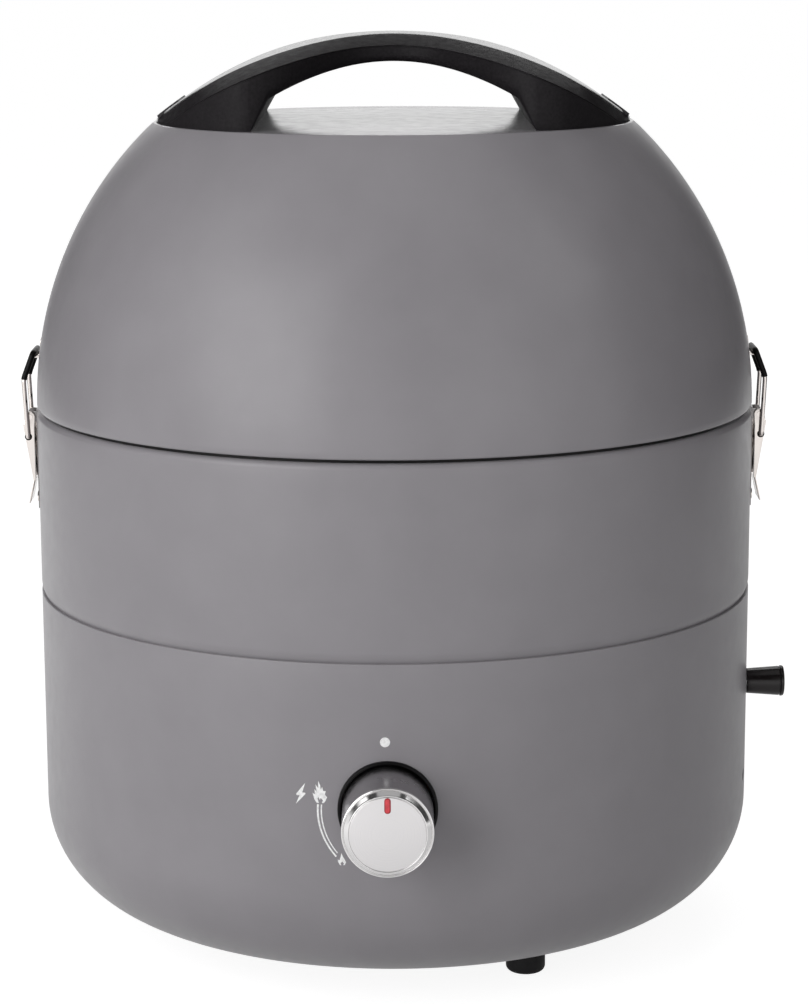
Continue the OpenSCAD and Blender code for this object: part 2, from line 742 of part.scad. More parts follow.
// Lid
module lid_shell() color("dimgray") difference() {
    rotate_extrude() polygon(concat(
        dome(0, seam_gap / 2, top_h - crease), [[top_r - crease, z_top], [0, z_top], [0, z_top - wall]],
        turned(dome(wall, seam_gap / 2, top_h - wall))));
    handle_screw_places() translate([0, 0, -wall - eps])
        cylinder(d = handle_screw_d + 2 * fit, h = wall + 2 * eps);
    for (s = [-1, 1]) side(s) keeper_rivet_places() bar_x(0, 0, -wall - eps, eps, small_rivet_d + 2 * fit);
}

module lid_band() color("gray") rotate_extrude() polygon([
    [spigot_r, z_ring_top], [band_r, z_ring_top], [band_r, z_ring_top + band_h],
    [band_r - wall, z_ring_top + band_h], [band_r - wall, z_ring_top + wall],
    [spigot_r - wall, z_ring_top + wall], [spigot_r - wall, z_ring_top - spigot_h],
    [spigot_r, z_ring_top - spigot_h]]);

// Half of the handle's depth: out to the flat top's edge at the feet, drawn in at the grip
function ease(t) = t * t * t * (t * (6 * t - 15) + 10);
function handle_half(x) = abs(x) >= shoulder_x
    ? sqrt(handle_foot_r * handle_foot_r - x * x)
    : grip_depth / 2 + (shoulder_y - grip_depth / 2) * ease(abs(x) / shoulder_x);

// Height of the handle's top and of the hand opening's roof above the flat top
function handle_high(x) = handle_arc_z - z_top + sqrt(handle_arc_r * handle_arc_r - x * x);
function grip_roof(x) = abs(x) >= grip_foot_w / 2 ? 0
    : abs(x) >= grip_arch_w / 2
    ? grip_spring * (grip_foot_w / 2 - abs(x)) / (grip_foot_w / 2 - grip_arch_w / 2)
    : grip_h - grip_arc_r + sqrt(grip_arc_r * grip_arc_r - x * x);

// Depth and width of the bevel, less at the thin tips
function bevel_fall(x) = min(bevel_h * handle_arc_r / sqrt(handle_arc_r * handle_arc_r - x * x),
    0.8 * (handle_high(x) - grip_roof(x)));
function bevel_run(x) = min(bevel_w, 0.3 * handle_half(x));

// Cross-section of the handle at x, anticlockwise from +X
function handle_section(x) =
    let (d = handle_half(x), low = z_top + grip_roof(x), high = z_top + handle_high(x))
    [[x, -d, low], [x, d, low], [x, d, high - bevel_fall(x)], [x, d - bevel_run(x), high],
    [x, bevel_run(x) - d, high], [x, -d, high - bevel_fall(x)]];

handle_right = concat(
    [for (i = [0:grip_steps]) grip_arch_w / 2 * i / grip_steps],
    [grip_foot_w / 2],
    [for (i = [0:foot_steps])
        handle_foot_r * cos(shoulder_a + (handle_tip_a - shoulder_a) * i / foot_steps)]);
handle_rows = concat([for (i = [len(handle_right) - 1:-1:1]) -handle_right[i]], handle_right);
section_size = 6;
handle_last = (len(handle_rows) - 1) * section_size;

module handle_screw_places() {
    for (x = [-1, 1], y = [-1, 1]) translate([x * handle_screw_x, y * handle_screw_y, z_top]) children();
}

module lid_handle() color("black") difference() {
    polyhedron(
        points = [for (x = handle_rows) each handle_section(x)],
        faces = concat(
            [[for (k = [0:section_size - 1]) k]],
            [for (i = [0:section_size:handle_last - section_size], k = [0:section_size - 1])
                let (n = (k + 1) % section_size) each [
                    [i + k, i + section_size + k, i + section_size + n],
                    [i + k, i + section_size + n, i + n]]],
            [[for (k = [section_size - 1:-1:0]) handle_last + k]]));
    handle_screw_places() translate([0, 0, -eps])
        cylinder(d = handle_screw_d + 2 * fit, h = handle_screw_len + gap + eps);
}

module handle_end_caps() color("dimgray") for (s = [-1, 1]) side(s) intersection() {
    translate([0, cap_w / 2, handle_arc_z]) rotate([90, 0, 0]) difference() {
        cylinder(r = handle_arc_r + cap_t, h = cap_w);
        translate([0, 0, -eps]) cylinder(r = handle_arc_r, h = cap_w + 2 * eps);
    }
    box([cap_x, -cap_w, z_top], [handle_foot_r, cap_w, z_top + handle_rise]);
    translate([0, 0, z_top]) cylinder(r = handle_foot_r, h = handle_rise);
}

module handle_screws() color("silver") handle_screw_places() {
    translate([0, 0, -wall - washer_t])
        cylinder(d = handle_screw_d, h = wall + washer_t + handle_screw_len);
    translate([0, 0, -wall - washer_t - screw_head_h])
        cylinder(d = 1.8 * handle_screw_d, h = screw_head_h);
}

module handle_washers() color("silver") handle_screw_places() difference() {
    translate([0, 0, -wall - washer_t]) cylinder(d = 2.4 * handle_screw_d, h = washer_t);
    translate([0, 0, -wall - washer_t - eps])
        cylinder(d = handle_screw_d + 2 * fit, h = washer_t + 2 * eps);
}

// Keepers on the lid
module keeper_rivet_places() {
    for (y = [-keeper_rivet_y, keeper_rivet_y])
        translate([dome_r(keeper_rivet_up), y, z_seam + keeper_rivet_up])
            rotate([0, -keeper_tilt, 0]) children();
}

module keeper() color("silver") difference() {
    union() {
        rotate([0, 0, -keeper_half]) rotate_extrude(angle = 2 * keeper_half) polygon(concat(
            dome(-0.06, keeper_low, keeper_high, 8),
            turned(dome(-keeper_t, keeper_low, keeper_high, 8))));
        box([dome_r(ledge_up) + keeper_t / 2, -ledge_half, z_seam + ledge_up - ledge_t],
            [body_r + bail_bar_out + bail_d / 2 + 0.1, ledge_half, z_seam + ledge_up]);
    }
    keeper_rivet_places() bar_x(0, 0, -wall - eps, keeper_t + eps, small_rivet_d + 2 * fit);
}

module keeper_left() side(-1) keeper();

module keeper_right() side(1) keeper();

module keeper_rivets() color("silver") for (s = [-1, 1]) side(s) keeper_rivet_places() {
    inner = -wall - gap / 2;
    outer = keeper_t + fit;
    bar_x(0, 0, inner - 0.5, outer + 0.5, small_rivet_d);
    bar_x(0, 0, outer, outer + 0.8, small_rivet_d + small_rivet_head);
    bar_x(0, 0, inner - 0.8, inner, small_rivet_d + small_rivet_head);
}

// Latches on the ring
module latch_rivet_places() {
    for (h = [pivot_up - 13, plate_bottom + 4]) translate([body_r, 0, z_seam + h]) children();
}

module latch_plate() color("silver") difference() {
    union() {
        rotate([0, 0, -3]) rotate_extrude(angle = 6) translate([body_r + fit, z_seam + plate_bottom])
            square([plate_t - fit, -plate_bottom - 3]);
        for (y = [-ear_y - latch_sheet, ear_y]) {
            latch_sheet_of([[0.5, pivot_up - 2.2], [pivot_out, pivot_up - 2.2], [pivot_out, pivot_up + 2.2],
                [0.5, pivot_up + 2.2]], y, y + latch_sheet);
            bar_y(body_r + pivot_out, z_seam + pivot_up, y + latch_sheet, y, 4.4);
        }
    }
    bar_y(body_r + pivot_out, z_seam + pivot_up, latch_w, -latch_w, latch_pin_d);
    latch_rivet_places() bar_x(0, 0, -eps, plate_t + eps, rivet_d + 2 * fit);
}

module latch_plate_left() side(-1) latch_plate();

module latch_plate_right() side(1) latch_plate();

module latch_pins() color("silver") for (s = [-1, 1]) side(s)
    bar_y(body_r + pivot_out, z_seam + pivot_up, pin_half, -pin_half, latch_pin_d);

module latch_rivets() color("silver") for (s = [-1, 1]) side(s) latch_rivet_places() {
    inner = -wall - fit;
    outer = plate_t + fit;
    bar_x(0, 0, inner - 0.5, outer + 0.5, rivet_d);
    bar_x(0, 0, outer, outer + 1, rivet_d + rivet_head);
    bar_x(0, 0, inner - 1, inner, rivet_d + rivet_head);
}

module latch_lever() color("silver") difference() {
    web = [[lever_top_out, pivot_up - 3], [tab_out, tab_up], [tab_out + 2.3, lever_end_up],
        [tab_out + 1.25, lever_end_up - 0.3], [tab_out - 1.1, tab_up - 0.1],
        [lever_top_out - 1.1, pivot_up - 3.2]];
    cheek = [[lever_top_out, pivot_up - 3], [tab_out, tab_up], [tab_out - 1.1, tab_up - 0.1],
        [plate_t + 1, pivot_up - 5.5], [plate_t + 1.1, pivot_up - 0.6], [pivot_out, pivot_up + 0.5]];
    union() {
        latch_sheet_of(web, -latch_w / 2, latch_w / 2);
        for (y = [-latch_w / 2, cheek_y]) {
            latch_sheet_of(cheek, y, y + latch_sheet);
            bar_y(body_r + pivot_out, z_seam + pivot_up, y + latch_sheet, y, 4.6);
        }
    }
    bar_y(body_r + pivot_out, z_seam + pivot_up, latch_w, -latch_w, latch_pin_d + 2 * fit);
    bar_y(body_r + bail_pivot_out, z_seam + bail_pivot_up, latch_w, -latch_w, bail_d + 2 * fit);
}

module latch_lever_left() side(-1) latch_lever();

module latch_lever_right() side(1) latch_lever();

module latch_bail() color("silver") {
    leg = bail_span / 2;
    foot = cheek_y - 0.4;
    pivot = [body_r + bail_pivot_out, z_seam + bail_pivot_up];
    bend = [body_r + bail_bend_out, z_seam + bail_bend_up];
    bar = [body_r + bail_bar_out, z_seam + bail_top];
    bent_bar([[pivot.x, foot, pivot.y], [pivot.x, leg, pivot.y], [bend.x, leg, bend.y],
        [bar.x, leg, bar.y], [bar.x, -leg, bar.y], [bend.x, -leg, bend.y],
        [pivot.x, -leg, pivot.y], [pivot.x, -foot, pivot.y]], bail_d);
}

module latch_bail_left() side(-1) latch_bail();

module latch_bail_right() side(1) latch_bail();

base_shell();
ring_shell();
rubber_feet();
foot_screws();
rim_bolts();
fire_floor();
drip_tray();
burner_posts();
burner_head();
burner_cap();
venturi_tube();
gas_jet();
flame_tamer();
grate_rests();
grill_grate();
spark_insulator();
spark_electrode();
ignition_lead();
piezo_igniter();
valve_bracket();
valve_body();
valve_cap();
valve_plug();
valve_stem();
knob_bezel();
knob();
knob_face();
knob_pointer();
burner_pipe();
supply_pipe();
regulator();
cartridge_cradle();
carriage_guides();
lock_carriage();
pull_rod();
pull_knob();
rod_bush();
cartridge_door();
door_knob();
door_hinge_leaf();
door_hinge_pin();
lid_shell();
lid_band();
lid_handle();
handle_end_caps();
handle_screws();
handle_washers();
keeper_left();
keeper_right();
keeper_rivets();
latch_plate_left();
latch_plate_right();
latch_pins();
latch_rivets();
latch_lever_left();
latch_lever_right();
latch_bail_left();
latch_bail_right();
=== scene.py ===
import json
import math

import bmesh
import bpy
from mathutils import Matrix, Vector


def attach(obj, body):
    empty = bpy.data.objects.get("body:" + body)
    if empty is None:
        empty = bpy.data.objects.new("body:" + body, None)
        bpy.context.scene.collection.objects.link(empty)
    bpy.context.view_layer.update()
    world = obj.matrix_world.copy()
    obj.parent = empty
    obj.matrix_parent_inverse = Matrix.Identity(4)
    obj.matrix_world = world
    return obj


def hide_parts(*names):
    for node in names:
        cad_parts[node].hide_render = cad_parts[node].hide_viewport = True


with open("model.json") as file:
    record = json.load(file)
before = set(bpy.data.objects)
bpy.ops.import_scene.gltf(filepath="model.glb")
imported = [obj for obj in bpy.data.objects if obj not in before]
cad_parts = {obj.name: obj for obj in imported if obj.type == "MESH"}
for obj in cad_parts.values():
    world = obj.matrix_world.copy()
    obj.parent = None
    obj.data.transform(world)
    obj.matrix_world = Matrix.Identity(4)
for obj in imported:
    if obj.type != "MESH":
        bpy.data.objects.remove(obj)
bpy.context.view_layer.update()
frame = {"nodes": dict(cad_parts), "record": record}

MM = 0.001
scene = bpy.context.scene
scene.view_settings.view_transform = "Standard"

# Main sizes, in millimetres, as in the part's source
R = 160.0
WALL = 1.5
FOOT_H = 14.0
BASE_H, RING_H, TOP_H = 143.0, 82.5, 125.0
CORNER = 47.0
SEAM_GAP = 1.3
RISE = 166.5
FLANGE_W = 12.0
KNOB_X, KNOB_UP = -3.4, 82.5
PULL_UP = 93.5
VENT_UP = 58.5

# Places worked out from those sizes
Z_BOTTOM = FOOT_H
Z_BASE = Z_BOTTOM + BASE_H
Z_SEAM = Z_BASE + RING_H
Z_TOP = Z_SEAM + TOP_H
TOP_R = R * math.cos(math.asin(TOP_H / RISE))
FLANGE_R = R - FLANGE_W
KNOB_Z = Z_BOTTOM + KNOB_UP
PULL_Z = Z_BOTTOM + PULL_UP
VENT_Z = Z_BOTTOM + VENT_UP


# Camera: lens and sensor in millimetres, place in metres, angles in degrees
CAM_LENS = 100.90
CAM_SENSOR = 36.0
CAM_SHIFT_X = 0.00906
CAM_AT = (0.0, -1.2544, 0.4403)
CAM_TILT, CAM_ROLL = 78.8, -0.24
CAM_FAR = 200.0


def rotation(degrees, axis):
    return Matrix.Rotation(math.radians(degrees), 4, axis)


def set_camera():
    data = bpy.data.cameras.new("camera")
    data.lens = CAM_LENS
    data.sensor_width = CAM_SENSOR
    data.sensor_fit = "AUTO"
    data.shift_x = CAM_SHIFT_X
    data.clip_end = CAM_FAR
    cam = bpy.data.objects.new("camera", data)
    cam.matrix_world = Matrix.Translation(CAM_AT) @ rotation(CAM_TILT, "X") @ rotation(CAM_ROLL, "Z")
    scene.collection.objects.link(cam)
    scene.camera = cam


set_camera()


# Materials

def node(tree, kind, sockets=None, **props):
    """New shader node; a socket takes a constant or is linked to another node's output."""
    made = tree.nodes.new("ShaderNode" + kind)
    for key, value in props.items():
        setattr(made, key, value)
    for key, value in (sockets or {}).items():
        if isinstance(value, bpy.types.NodeSocket):
            tree.links.new(value, made.inputs[key])
        else:
            made.inputs[key].default_value = value
    return made


def grey(level):
    return level, level, level, 1.0


def shade(rgb, factor):
    return tuple(min(1.0, c * factor) for c in rgb)


def srgb(r, g, b):
    def one(c):
        c /= 255.0
        return c / 12.92 if c <= 0.04045 else ((c + 0.055) / 1.055) ** 2.4
    return one(r), one(g), one(b)


class Shader:
    """A Principled material whose colour, roughness and bump come from procedural nodes."""

    # The stretch of a noise that is spread over a change of colour or roughness
    NOISE_LOW, NOISE_HIGH = 0.3, 0.7

    def __init__(self, name, **constants):
        self.mat = bpy.data.materials.new(name)
        self.mat.use_nodes = True
        self.tree = self.mat.node_tree
        self.tree.nodes.clear()
        self.bsdf = node(self.tree, "BsdfPrincipled")
        node(self.tree, "OutputMaterial", {"Surface": self.bsdf.outputs["BSDF"]})
        self.place = node(self.tree, "TexCoord").outputs["Object"]
        self.normal = None
        for key, value in constants.items():
            self.bsdf.inputs[key.replace("_", " ")].default_value = value
        MATS[name] = self.mat

    def stretched(self, scale):
        return node(self.tree, "Mapping", {"Vector": self.place, "Scale": scale}).outputs["Vector"]

    def noise(self, scale, detail=2.0, rough=0.5, vector=None):
        sockets = {"Vector": vector or self.place, "Scale": scale, "Detail": detail, "Roughness": rough}
        return node(self.tree, "TexNoise", sockets).outputs["Fac"]

    def rings(self, centre, axis, scale, detail=3.0):
        """Noise that depends only on the distance from a line along an axis through a point."""
        keep = [0.0 if i == axis else 1.0 for i in range(3)]
        away = node(self.tree, "VectorMath", {0: self.place, 1: centre}, operation="SUBTRACT")
        flat = node(self.tree, "VectorMath", {0: away.outputs[0], 1: keep}, operation="MULTIPLY")
        length = node(self.tree, "VectorMath", {0: flat.outputs[0]}, operation="LENGTH")
        made = node(self.tree, "TexNoise", noise_dimensions="1D")
        self.tree.links.new(length.outputs["Value"], made.inputs["W"])
        made.inputs["Scale"].default_value = scale
        made.inputs["Detail"].default_value = detail
        return made.outputs["Fac"]

    def colour(self, value, rgb, dark, light):
        made = node(self.tree, "ValToRGB", {"Fac": value})
        steps = ((self.NOISE_LOW, dark), (self.NOISE_HIGH, light))
        for element, (at, factor) in zip(made.color_ramp.elements, steps):
            element.position = at
            element.color = (*shade(rgb, factor), 1.0)
        self.tree.links.new(made.outputs["Color"], self.bsdf.inputs["Base Color"])

    def rough(self, value, middle, spread):
        sockets = {"Value": value, "From Min": self.NOISE_LOW, "From Max": self.NOISE_HIGH,
                   "To Min": middle - spread, "To Max": middle + spread}
        made = node(self.tree, "MapRange", sockets)
        self.tree.links.new(made.outputs["Result"], self.bsdf.inputs["Roughness"])

    def bump(self, value, strength, distance):
        made = node(self.tree, "Bump", {"Strength": strength, "Distance": distance, "Height": value})
        if self.normal is not None:
            self.tree.links.new(self.normal, made.inputs["Normal"])
        self.normal = made.outputs["Normal"]
        self.tree.links.new(self.normal, self.bsdf.inputs["Normal"])


def paint(name, rgb, rough, grain=1.0):
    s = Shader(name, Specular_IOR_Level=0.35)
    s.colour(s.noise(scale=38.0, detail=4.0), rgb, dark=0.965, light=1.035)
    s.rough(s.noise(scale=160.0, detail=3.0), rough, spread=0.03)
    s.bump(s.noise(scale=1500.0), strength=0.10 * grain, distance=0.0002)
    s.bump(s.noise(scale=420.0), strength=0.05 * grain, distance=0.0003)


def plastic(name, rgb, rough, grain, strength, shine=0.5):
    """Moulded plastic; its colour and gloss vary more coarsely than its grain."""
    s = Shader(name, Specular_IOR_Level=shine)
    s.colour(s.noise(scale=0.6 * grain, detail=3.0), rgb, dark=0.75, light=1.3)
    s.rough(s.noise(scale=0.3 * grain), rough, spread=0.06)
    s.bump(s.noise(scale=grain, detail=3.0, rough=0.6), strength, distance=0.0003)


def metal(name, rgb, rough, spread, grain=(600.0, 600.0, 600.0), strength=0.04, tone=0.08):
    s = Shader(name, Metallic=1.0)
    lines = s.noise(scale=1.0, detail=3.0, rough=0.6, vector=s.stretched(grain))
    s.colour(lines, rgb, dark=1.0 - tone, light=1.0 + tone)
    s.rough(s.noise(scale=55.0, detail=4.0), rough, spread)
    s.bump(lines, strength, distance=0.0001)


def spun(name, rgb, rough, scale, strength):
    """Metal turned on a lathe, with fine rings about the control knob's axis."""
    s = Shader(name, Metallic=1.0)
    rings = s.rings((KNOB_X * MM, 0.0, KNOB_Z * MM), axis=1, scale=scale)
    s.colour(rings, rgb, dark=0.93, light=1.05)
    s.rough(s.noise(scale=70.0, detail=3.0), rough, spread=0.05)
    s.bump(rings, strength, distance=0.00005)


def iron(name, rgb):
    s = Shader(name, Metallic=0.3)
    s.colour(s.noise(scale=240.0, detail=5.0, rough=0.65), rgb, dark=0.6, light=1.6)
    s.rough(s.noise(scale=90.0, detail=3.0), middle=0.65, spread=0.10)
    s.bump(s.noise(scale=900.0, detail=4.0, rough=0.7), strength=0.35, distance=0.0004)


MATS = {}
PAINT_GREY = srgb(137, 134, 138)
HANDLE_BLACK = srgb(30, 28, 30)
SHEET_GRAIN = (700.0, 90.0, 700.0)
CHROME_GRAIN = (300.0, 900.0, 60.0)
CAST_GRAIN = (160.0, 160.0, 160.0)
paint("grey_paint", PAINT_GREY, rough=0.33)
paint("grey_paint_flat", PAINT_GREY, rough=0.14, grain=0.04)
paint("grey_paint_edge", PAINT_GREY, rough=0.12, grain=0.25)
plastic("black_plastic", HANDLE_BLACK, rough=0.48, grain=1400.0, strength=0.22, shine=0.09)
plastic("black_bevel", HANDLE_BLACK, rough=0.5, grain=1100.0, strength=0.4, shine=0.04)
plastic("black_top", srgb(24, 23, 24), rough=0.17, grain=1400.0, strength=0.03)
# Black of the knob's bezel, also used for dark parts that paint shade and reflection: the lid's band, the
# discs round the bail's ends and the sleeves on the bail's hooks
plastic("black_ring", srgb(9, 8, 9), rough=0.35, grain=900.0, strength=0.05, shine=0.12)
plastic("black_pull", srgb(26, 20, 21), rough=0.2, grain=900.0, strength=0.03, shine=0.4)
plastic("grey_plastic", srgb(54, 52, 54), rough=0.45, grain=1400.0, strength=0.2, shine=0.3)
plastic("rubber", srgb(13, 12, 14), rough=0.6, grain=1100.0, strength=0.25, shine=0.25)
plastic("red_mark", srgb(206, 66, 74), rough=0.35, grain=900.0, strength=0.05)
plastic("red_edge_shade", srgb(150, 26, 34), rough=0.4, grain=900.0, strength=0.05)
plastic("ceramic", srgb(235, 231, 222), rough=0.25, grain=500.0, strength=0.05)
plastic("print_white", srgb(255, 255, 255), rough=0.5, grain=1500.0, strength=0.05)
metal("bright_steel", (0.72, 0.67, 0.64), rough=0.10, spread=0.03, grain=CHROME_GRAIN, strength=0.02,
      tone=0.03)
# Dark steel for the latch plates: painted shade in the gap between each lever and the wall
metal("plate_steel_painted_shade", (0.20, 0.19, 0.19), rough=0.28, spread=0.06, grain=SHEET_GRAIN)
metal("steel", (0.52, 0.52, 0.53), rough=0.36, spread=0.08, grain=SHEET_GRAIN, strength=0.05)
metal("brass", (0.72, 0.55, 0.27), rough=0.3, spread=0.07)
metal("copper", (0.72, 0.40, 0.26), rough=0.3, spread=0.08)
metal("aluminium", (0.72, 0.72, 0.73), rough=0.42, spread=0.08, grain=CAST_GRAIN, strength=0.08)
spun("knob_metal", (0.74, 0.73, 0.73), rough=0.16, scale=9000.0, strength=0.05)
# A darker copy of the knob's metal for the knob's side: painted shade for the dark that the side shows
# under this light
spun("knob_side_shaded", (0.40, 0.39, 0.40), rough=0.24, scale=9000.0, strength=0.06)
spun("knob_face", (0.67, 0.655, 0.66), rough=0.34, scale=5200.0, strength=0.16)
iron("cast_iron", srgb(52, 51, 52))


# Mesh helpers
WELD = 1e-4


def arc(cx, cy, r, a0, a1, n):
    angles = [math.radians(a0 + (a1 - a0) * i / n) for i in range(n + 1)]
    return [(cx + r * math.cos(a), cy + r * math.sin(a)) for a in angles]


def rounded(points, n=5, closed=True):
    """Outline with corners rounded: each point is (x, y) or (x, y, radius)."""
    most = 0.49
    out = []
    count = len(points)
    for i, p in enumerate(points):
        r = p[2] if len(p) > 2 else 0.0
        here = Vector(p[:2])
        if r <= 0.0 or (not closed and i in (0, count - 1)):
            out.append(tuple(here))
            continue
        a = Vector(points[i - 1][:2]) - here
        b = Vector(points[(i + 1) % count][:2]) - here
        half = a.angle(b) / 2
        reach = min(r / math.tan(half), most * a.length, most * b.length)
        r = reach * math.tan(half)
        mid = here + (a.normalized() + b.normalized()).normalized() * (r / math.sin(half))
        start = here + a.normalized() * reach - mid
        end = here + b.normalized() * reach - mid
        turn = math.atan2(start.x * end.y - start.y * end.x, start.dot(end))
        for k in range(n + 1):
            c, s = math.cos(turn * k / n), math.sin(turn * k / n)
            out.append((mid.x + start.x * c - start.y * s, mid.y + start.x * s + start.y * c))
    return out


def piece(name, bm, body, material, nodes=(), angle=32.0, move=None):
    """Makes an object from a bmesh in millimetres, riding on a body."""
    bmesh.ops.remove_doubles(bm, verts=bm.verts, dist=WELD)
    bmesh.ops.dissolve_degenerate(bm, dist=WELD, edges=bm.edges)
    bmesh.ops.recalc_face_normals(bm, faces=bm.faces)
    bm.transform(Matrix.Scale(MM, 4))
    if move is not None:
        bm.transform(move)
    mesh = bpy.data.meshes.new(name)
    bm.to_mesh(mesh)
    bm.free()
    for m in material if isinstance(material, (list, tuple)) else [material]:
        mesh.materials.append(MATS[m])
    mesh.polygons.foreach_set("use_smooth", [True] * len(mesh.polygons))
    mesh.set_sharp_from_angle(angle=math.radians(angle))
    obj = bpy.data.objects.new(name, mesh)
    scene.collection.objects.link(obj)
    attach(obj, body)
    if nodes:
        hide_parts(*nodes)


def loft(rows):
    """Faces between closed rows of points, with the two ends closed."""
    bm = bmesh.new()
    rows = [[bm.verts.new(p) for p in row] for row in rows]
    n = len(rows[0])
    for one, two in zip(rows, rows[1:]):
        for k in range(n):
            bm.faces.new((one[k], one[(k + 1) % n], two[(k + 1) % n], two[k]))
    bm.faces.new(rows[0])
    bm.faces.new(reversed(rows[-1]))
    return bm


def turned(profile, segments, a0=0.0, a1=360.0):
    """Solid of revolution about Z from a closed outline of (radius, height)."""
    bm = bmesh.new()
    full = abs(a1 - a0) >= 360.0
    count = segments if full else segments + 1
    rows = []
    for i in range(count):
        a = math.radians(a0 + (a1 - a0) * i / segments)
        rows.append([bm.verts.new((r * math.cos(a), r * math.sin(a), z)) for r, z in profile])
    for i in range(segments):
        one, two = rows[i], rows[(i + 1) % count]
        for j in range(len(profile)):
            k = (j + 1) % len(profile)
            bm.faces.new((one[j], two[j], two[k], one[k]))
    if not full:
        bm.faces.new(rows[0])
        bm.faces.new(reversed(rows[-1]))
    return bm


def along(axis, at):
    """Places a solid of revolution with its axis along X or -Y through a point in millimetres."""
    return Matrix.Translation(Vector(at) * MM) @ rotation(90, "Y" if axis == "x" else "X")


def tube(points, d, sides=20):
    """Round wire along a list of points, with closed ends."""
    pts = [Vector(p) for p in points]
    turns = [2 * math.pi * k / sides for k in range(sides)]
    rows = []
    up = None
    for i, p in enumerate(pts):
        ahead = (pts[min(i + 1, len(pts) - 1)] - pts[max(i - 1, 0)]).normalized()
        if up is None:
            up = ahead.orthogonal().normalized()
        up = (up - ahead * up.dot(ahead)).normalized()
        across = ahead.cross(up)
        rows.append([p + (up * math.cos(t) + across * math.sin(t)) * d / 2 for t in turns])
    return loft(rows)


def bent(points, radius, n=8):
    """Path in space with each inner corner rounded."""
    most = 0.45
    pts = [Vector(p) for p in points]
    out = [pts[0]]
    for a, here, b in zip(pts, pts[1:], pts[2:]):
        u, v = a - here, b - here
        reach = min(radius, most * u.length, most * v.length)
        p, q = here + u.normalized() * reach, here + v.normalized() * reach
        for k in range(n + 1):
            t = k / n
            out.append(p * (1 - t) ** 2 + here * 2 * t * (1 - t) + q * t ** 2)
    out.append(pts[-1])
    return out


def prism(outline, y0, y1):
    """Outline in the XZ plane made y0 to y1 deep."""
    bm = bmesh.new()
    near = [bm.verts.new((x, y0, z)) for x, z in outline]
    far = [bm.verts.new((x, y1, z)) for x, z in outline]
    bm.faces.new(near)
    bm.faces.new(reversed(far))
    n = len(outline)
    for i in range(n):
        bm.faces.new((near[i], far[i], far[(i + 1) % n], near[(i + 1) % n]))
    return bm


def soften(bm, width, segments=2, angle=35.0):
    """Rounds the sharp edges of a bmesh."""
    bmesh.ops.recalc_face_normals(bm, faces=bm.faces)
    limit = math.radians(angle)
    sharp = [e for e in bm.edges if len(e.link_faces) == 2 and e.calc_face_angle(0.0) > limit]
    bmesh.ops.bevel(bm, geom=sharp, offset=width, offset_type="OFFSET", segments=segments, profile=0.5,
                    affect="EDGES", clamp_overlap=True)
    return bm


def join(*parts):
    """One bmesh from several."""
    whole = bmesh.new()
    for part in parts:
        mesh = bpy.data.meshes.new("part")
        part.to_mesh(mesh)
        part.free()
        whole.from_mesh(mesh)
        bpy.data.meshes.remove(mesh)
    return whole


def second_material(bm):
    for f in bm.faces:
        f.material_index = 1
    return bm


def mirrored(bm, s):
    """The same shape on the left side where s is negative."""
    if s < 0:
        bm.transform(Matrix.Scale(-1.0, 4, (1.0, 0.0, 0.0)))
        bmesh.ops.reverse_faces(bm, faces=bm.faces)
    return bm


def cut(bm, cutters):
    """Takes solids away from a bmesh in millimetres."""
    def holder(name, part):
        bmesh.ops.remove_doubles(part, verts=part.verts, dist=WELD)
        bmesh.ops.recalc_face_normals(part, faces=part.faces)
        mesh = bpy.data.meshes.new(name)
        part.to_mesh(mesh)
        part.free()
        obj = bpy.data.objects.new(name, mesh)
        scene.collection.objects.link(obj)
        return obj
    target = holder("cut_target", bm)
    tool = holder("cut_tool", join(*cutters))
    mod = target.modifiers.new("cut", "BOOLEAN")
    mod.operation = "DIFFERENCE"
    mod.solver = "EXACT"
    mod.object = tool
    bpy.context.view_layer.update()
    done = bpy.data.meshes.new_from_object(target.evaluated_get(bpy.context.evaluated_depsgraph_get()))
    out = bmesh.new()
    out.from_mesh(done)
    for obj in (target, tool):
        mesh = obj.data
        bpy.data.objects.remove(obj)
        bpy.data.meshes.remove(mesh)
    bpy.data.meshes.remove(done)
    return out


def rod(axis, at, d, length, sides=48):
    """Plain round solid along X or Y, in millimetres, centred on a point."""
    bm = bmesh.new()
    bmesh.ops.create_cone(bm, cap_ends=True, segments=sides, radius1=d / 2, radius2=d / 2, depth=length)
    bm.transform(Matrix.Translation(at) @ rotation(90, "Y" if axis == "x" else "X"))
    return bm


# Shells
SHELL_SEGMENTS = 288
BASE_ROWS = range(70, 154, 12)
BASE_INNER_ROWS = range(142, 60, -12)
RING_ROWS = range(170, 235, 12)
CENTRE_R = 60.0
BASE_LIP = 0.4
KNOB_HOLE_D, KNOB_HOLE_DEEP = 40.9, 30.0
PULL_HOLE_D = 10.1
VENT_D = 5.5
VENT_FIRST, VENT_STEP = -12.0, 9.5
VENTS_RIGHT, VENTS_LEFT = 5, 4
HOLE_DEEP = 14.0
DOOR_LOW, DOOR_HIGH = 61.0, 133.0
DOOR_IN, DOOR_OUT = R - 10.0, R + 10.0
DOOR_FROM, DOOR_TO = 48.0, 132.0
RING_LIP = 2.8
HEM, HEM_UP = 0.9, 0.2
HEM_FROM, HEM_TO = -78, -6
CREASE, CREASE_R, CREASE_IN = 1.4, 1.3, 0.2
LEVEL = 1e-3

# Rolled lower edge of the ring: inset and height of each step
RING_ROLL = ((1.25, 0.0), (1.12, 0.25), (0.92, 0.7), (0.63, 1.4),
             (0.36, 2.2), (0.16, 3.1), (0.04, 3.9), (0.0, 4.6))


def dome(off, h0, h1, n):
    """Points on the lid's curve, set in by off, between two heights above the seam."""
    rise = RISE - off
    a0, a1 = math.asin(h0 / rise), math.asin(h1 / rise)
    angles = [a0 + (a1 - a0) * i / n for i in range(n + 1)]
    return [((R - off) * math.cos(a), Z_SEAM + rise * math.sin(a)) for a in angles]


def wall_points(r, heights):
    return [(r, z) for z in heights]


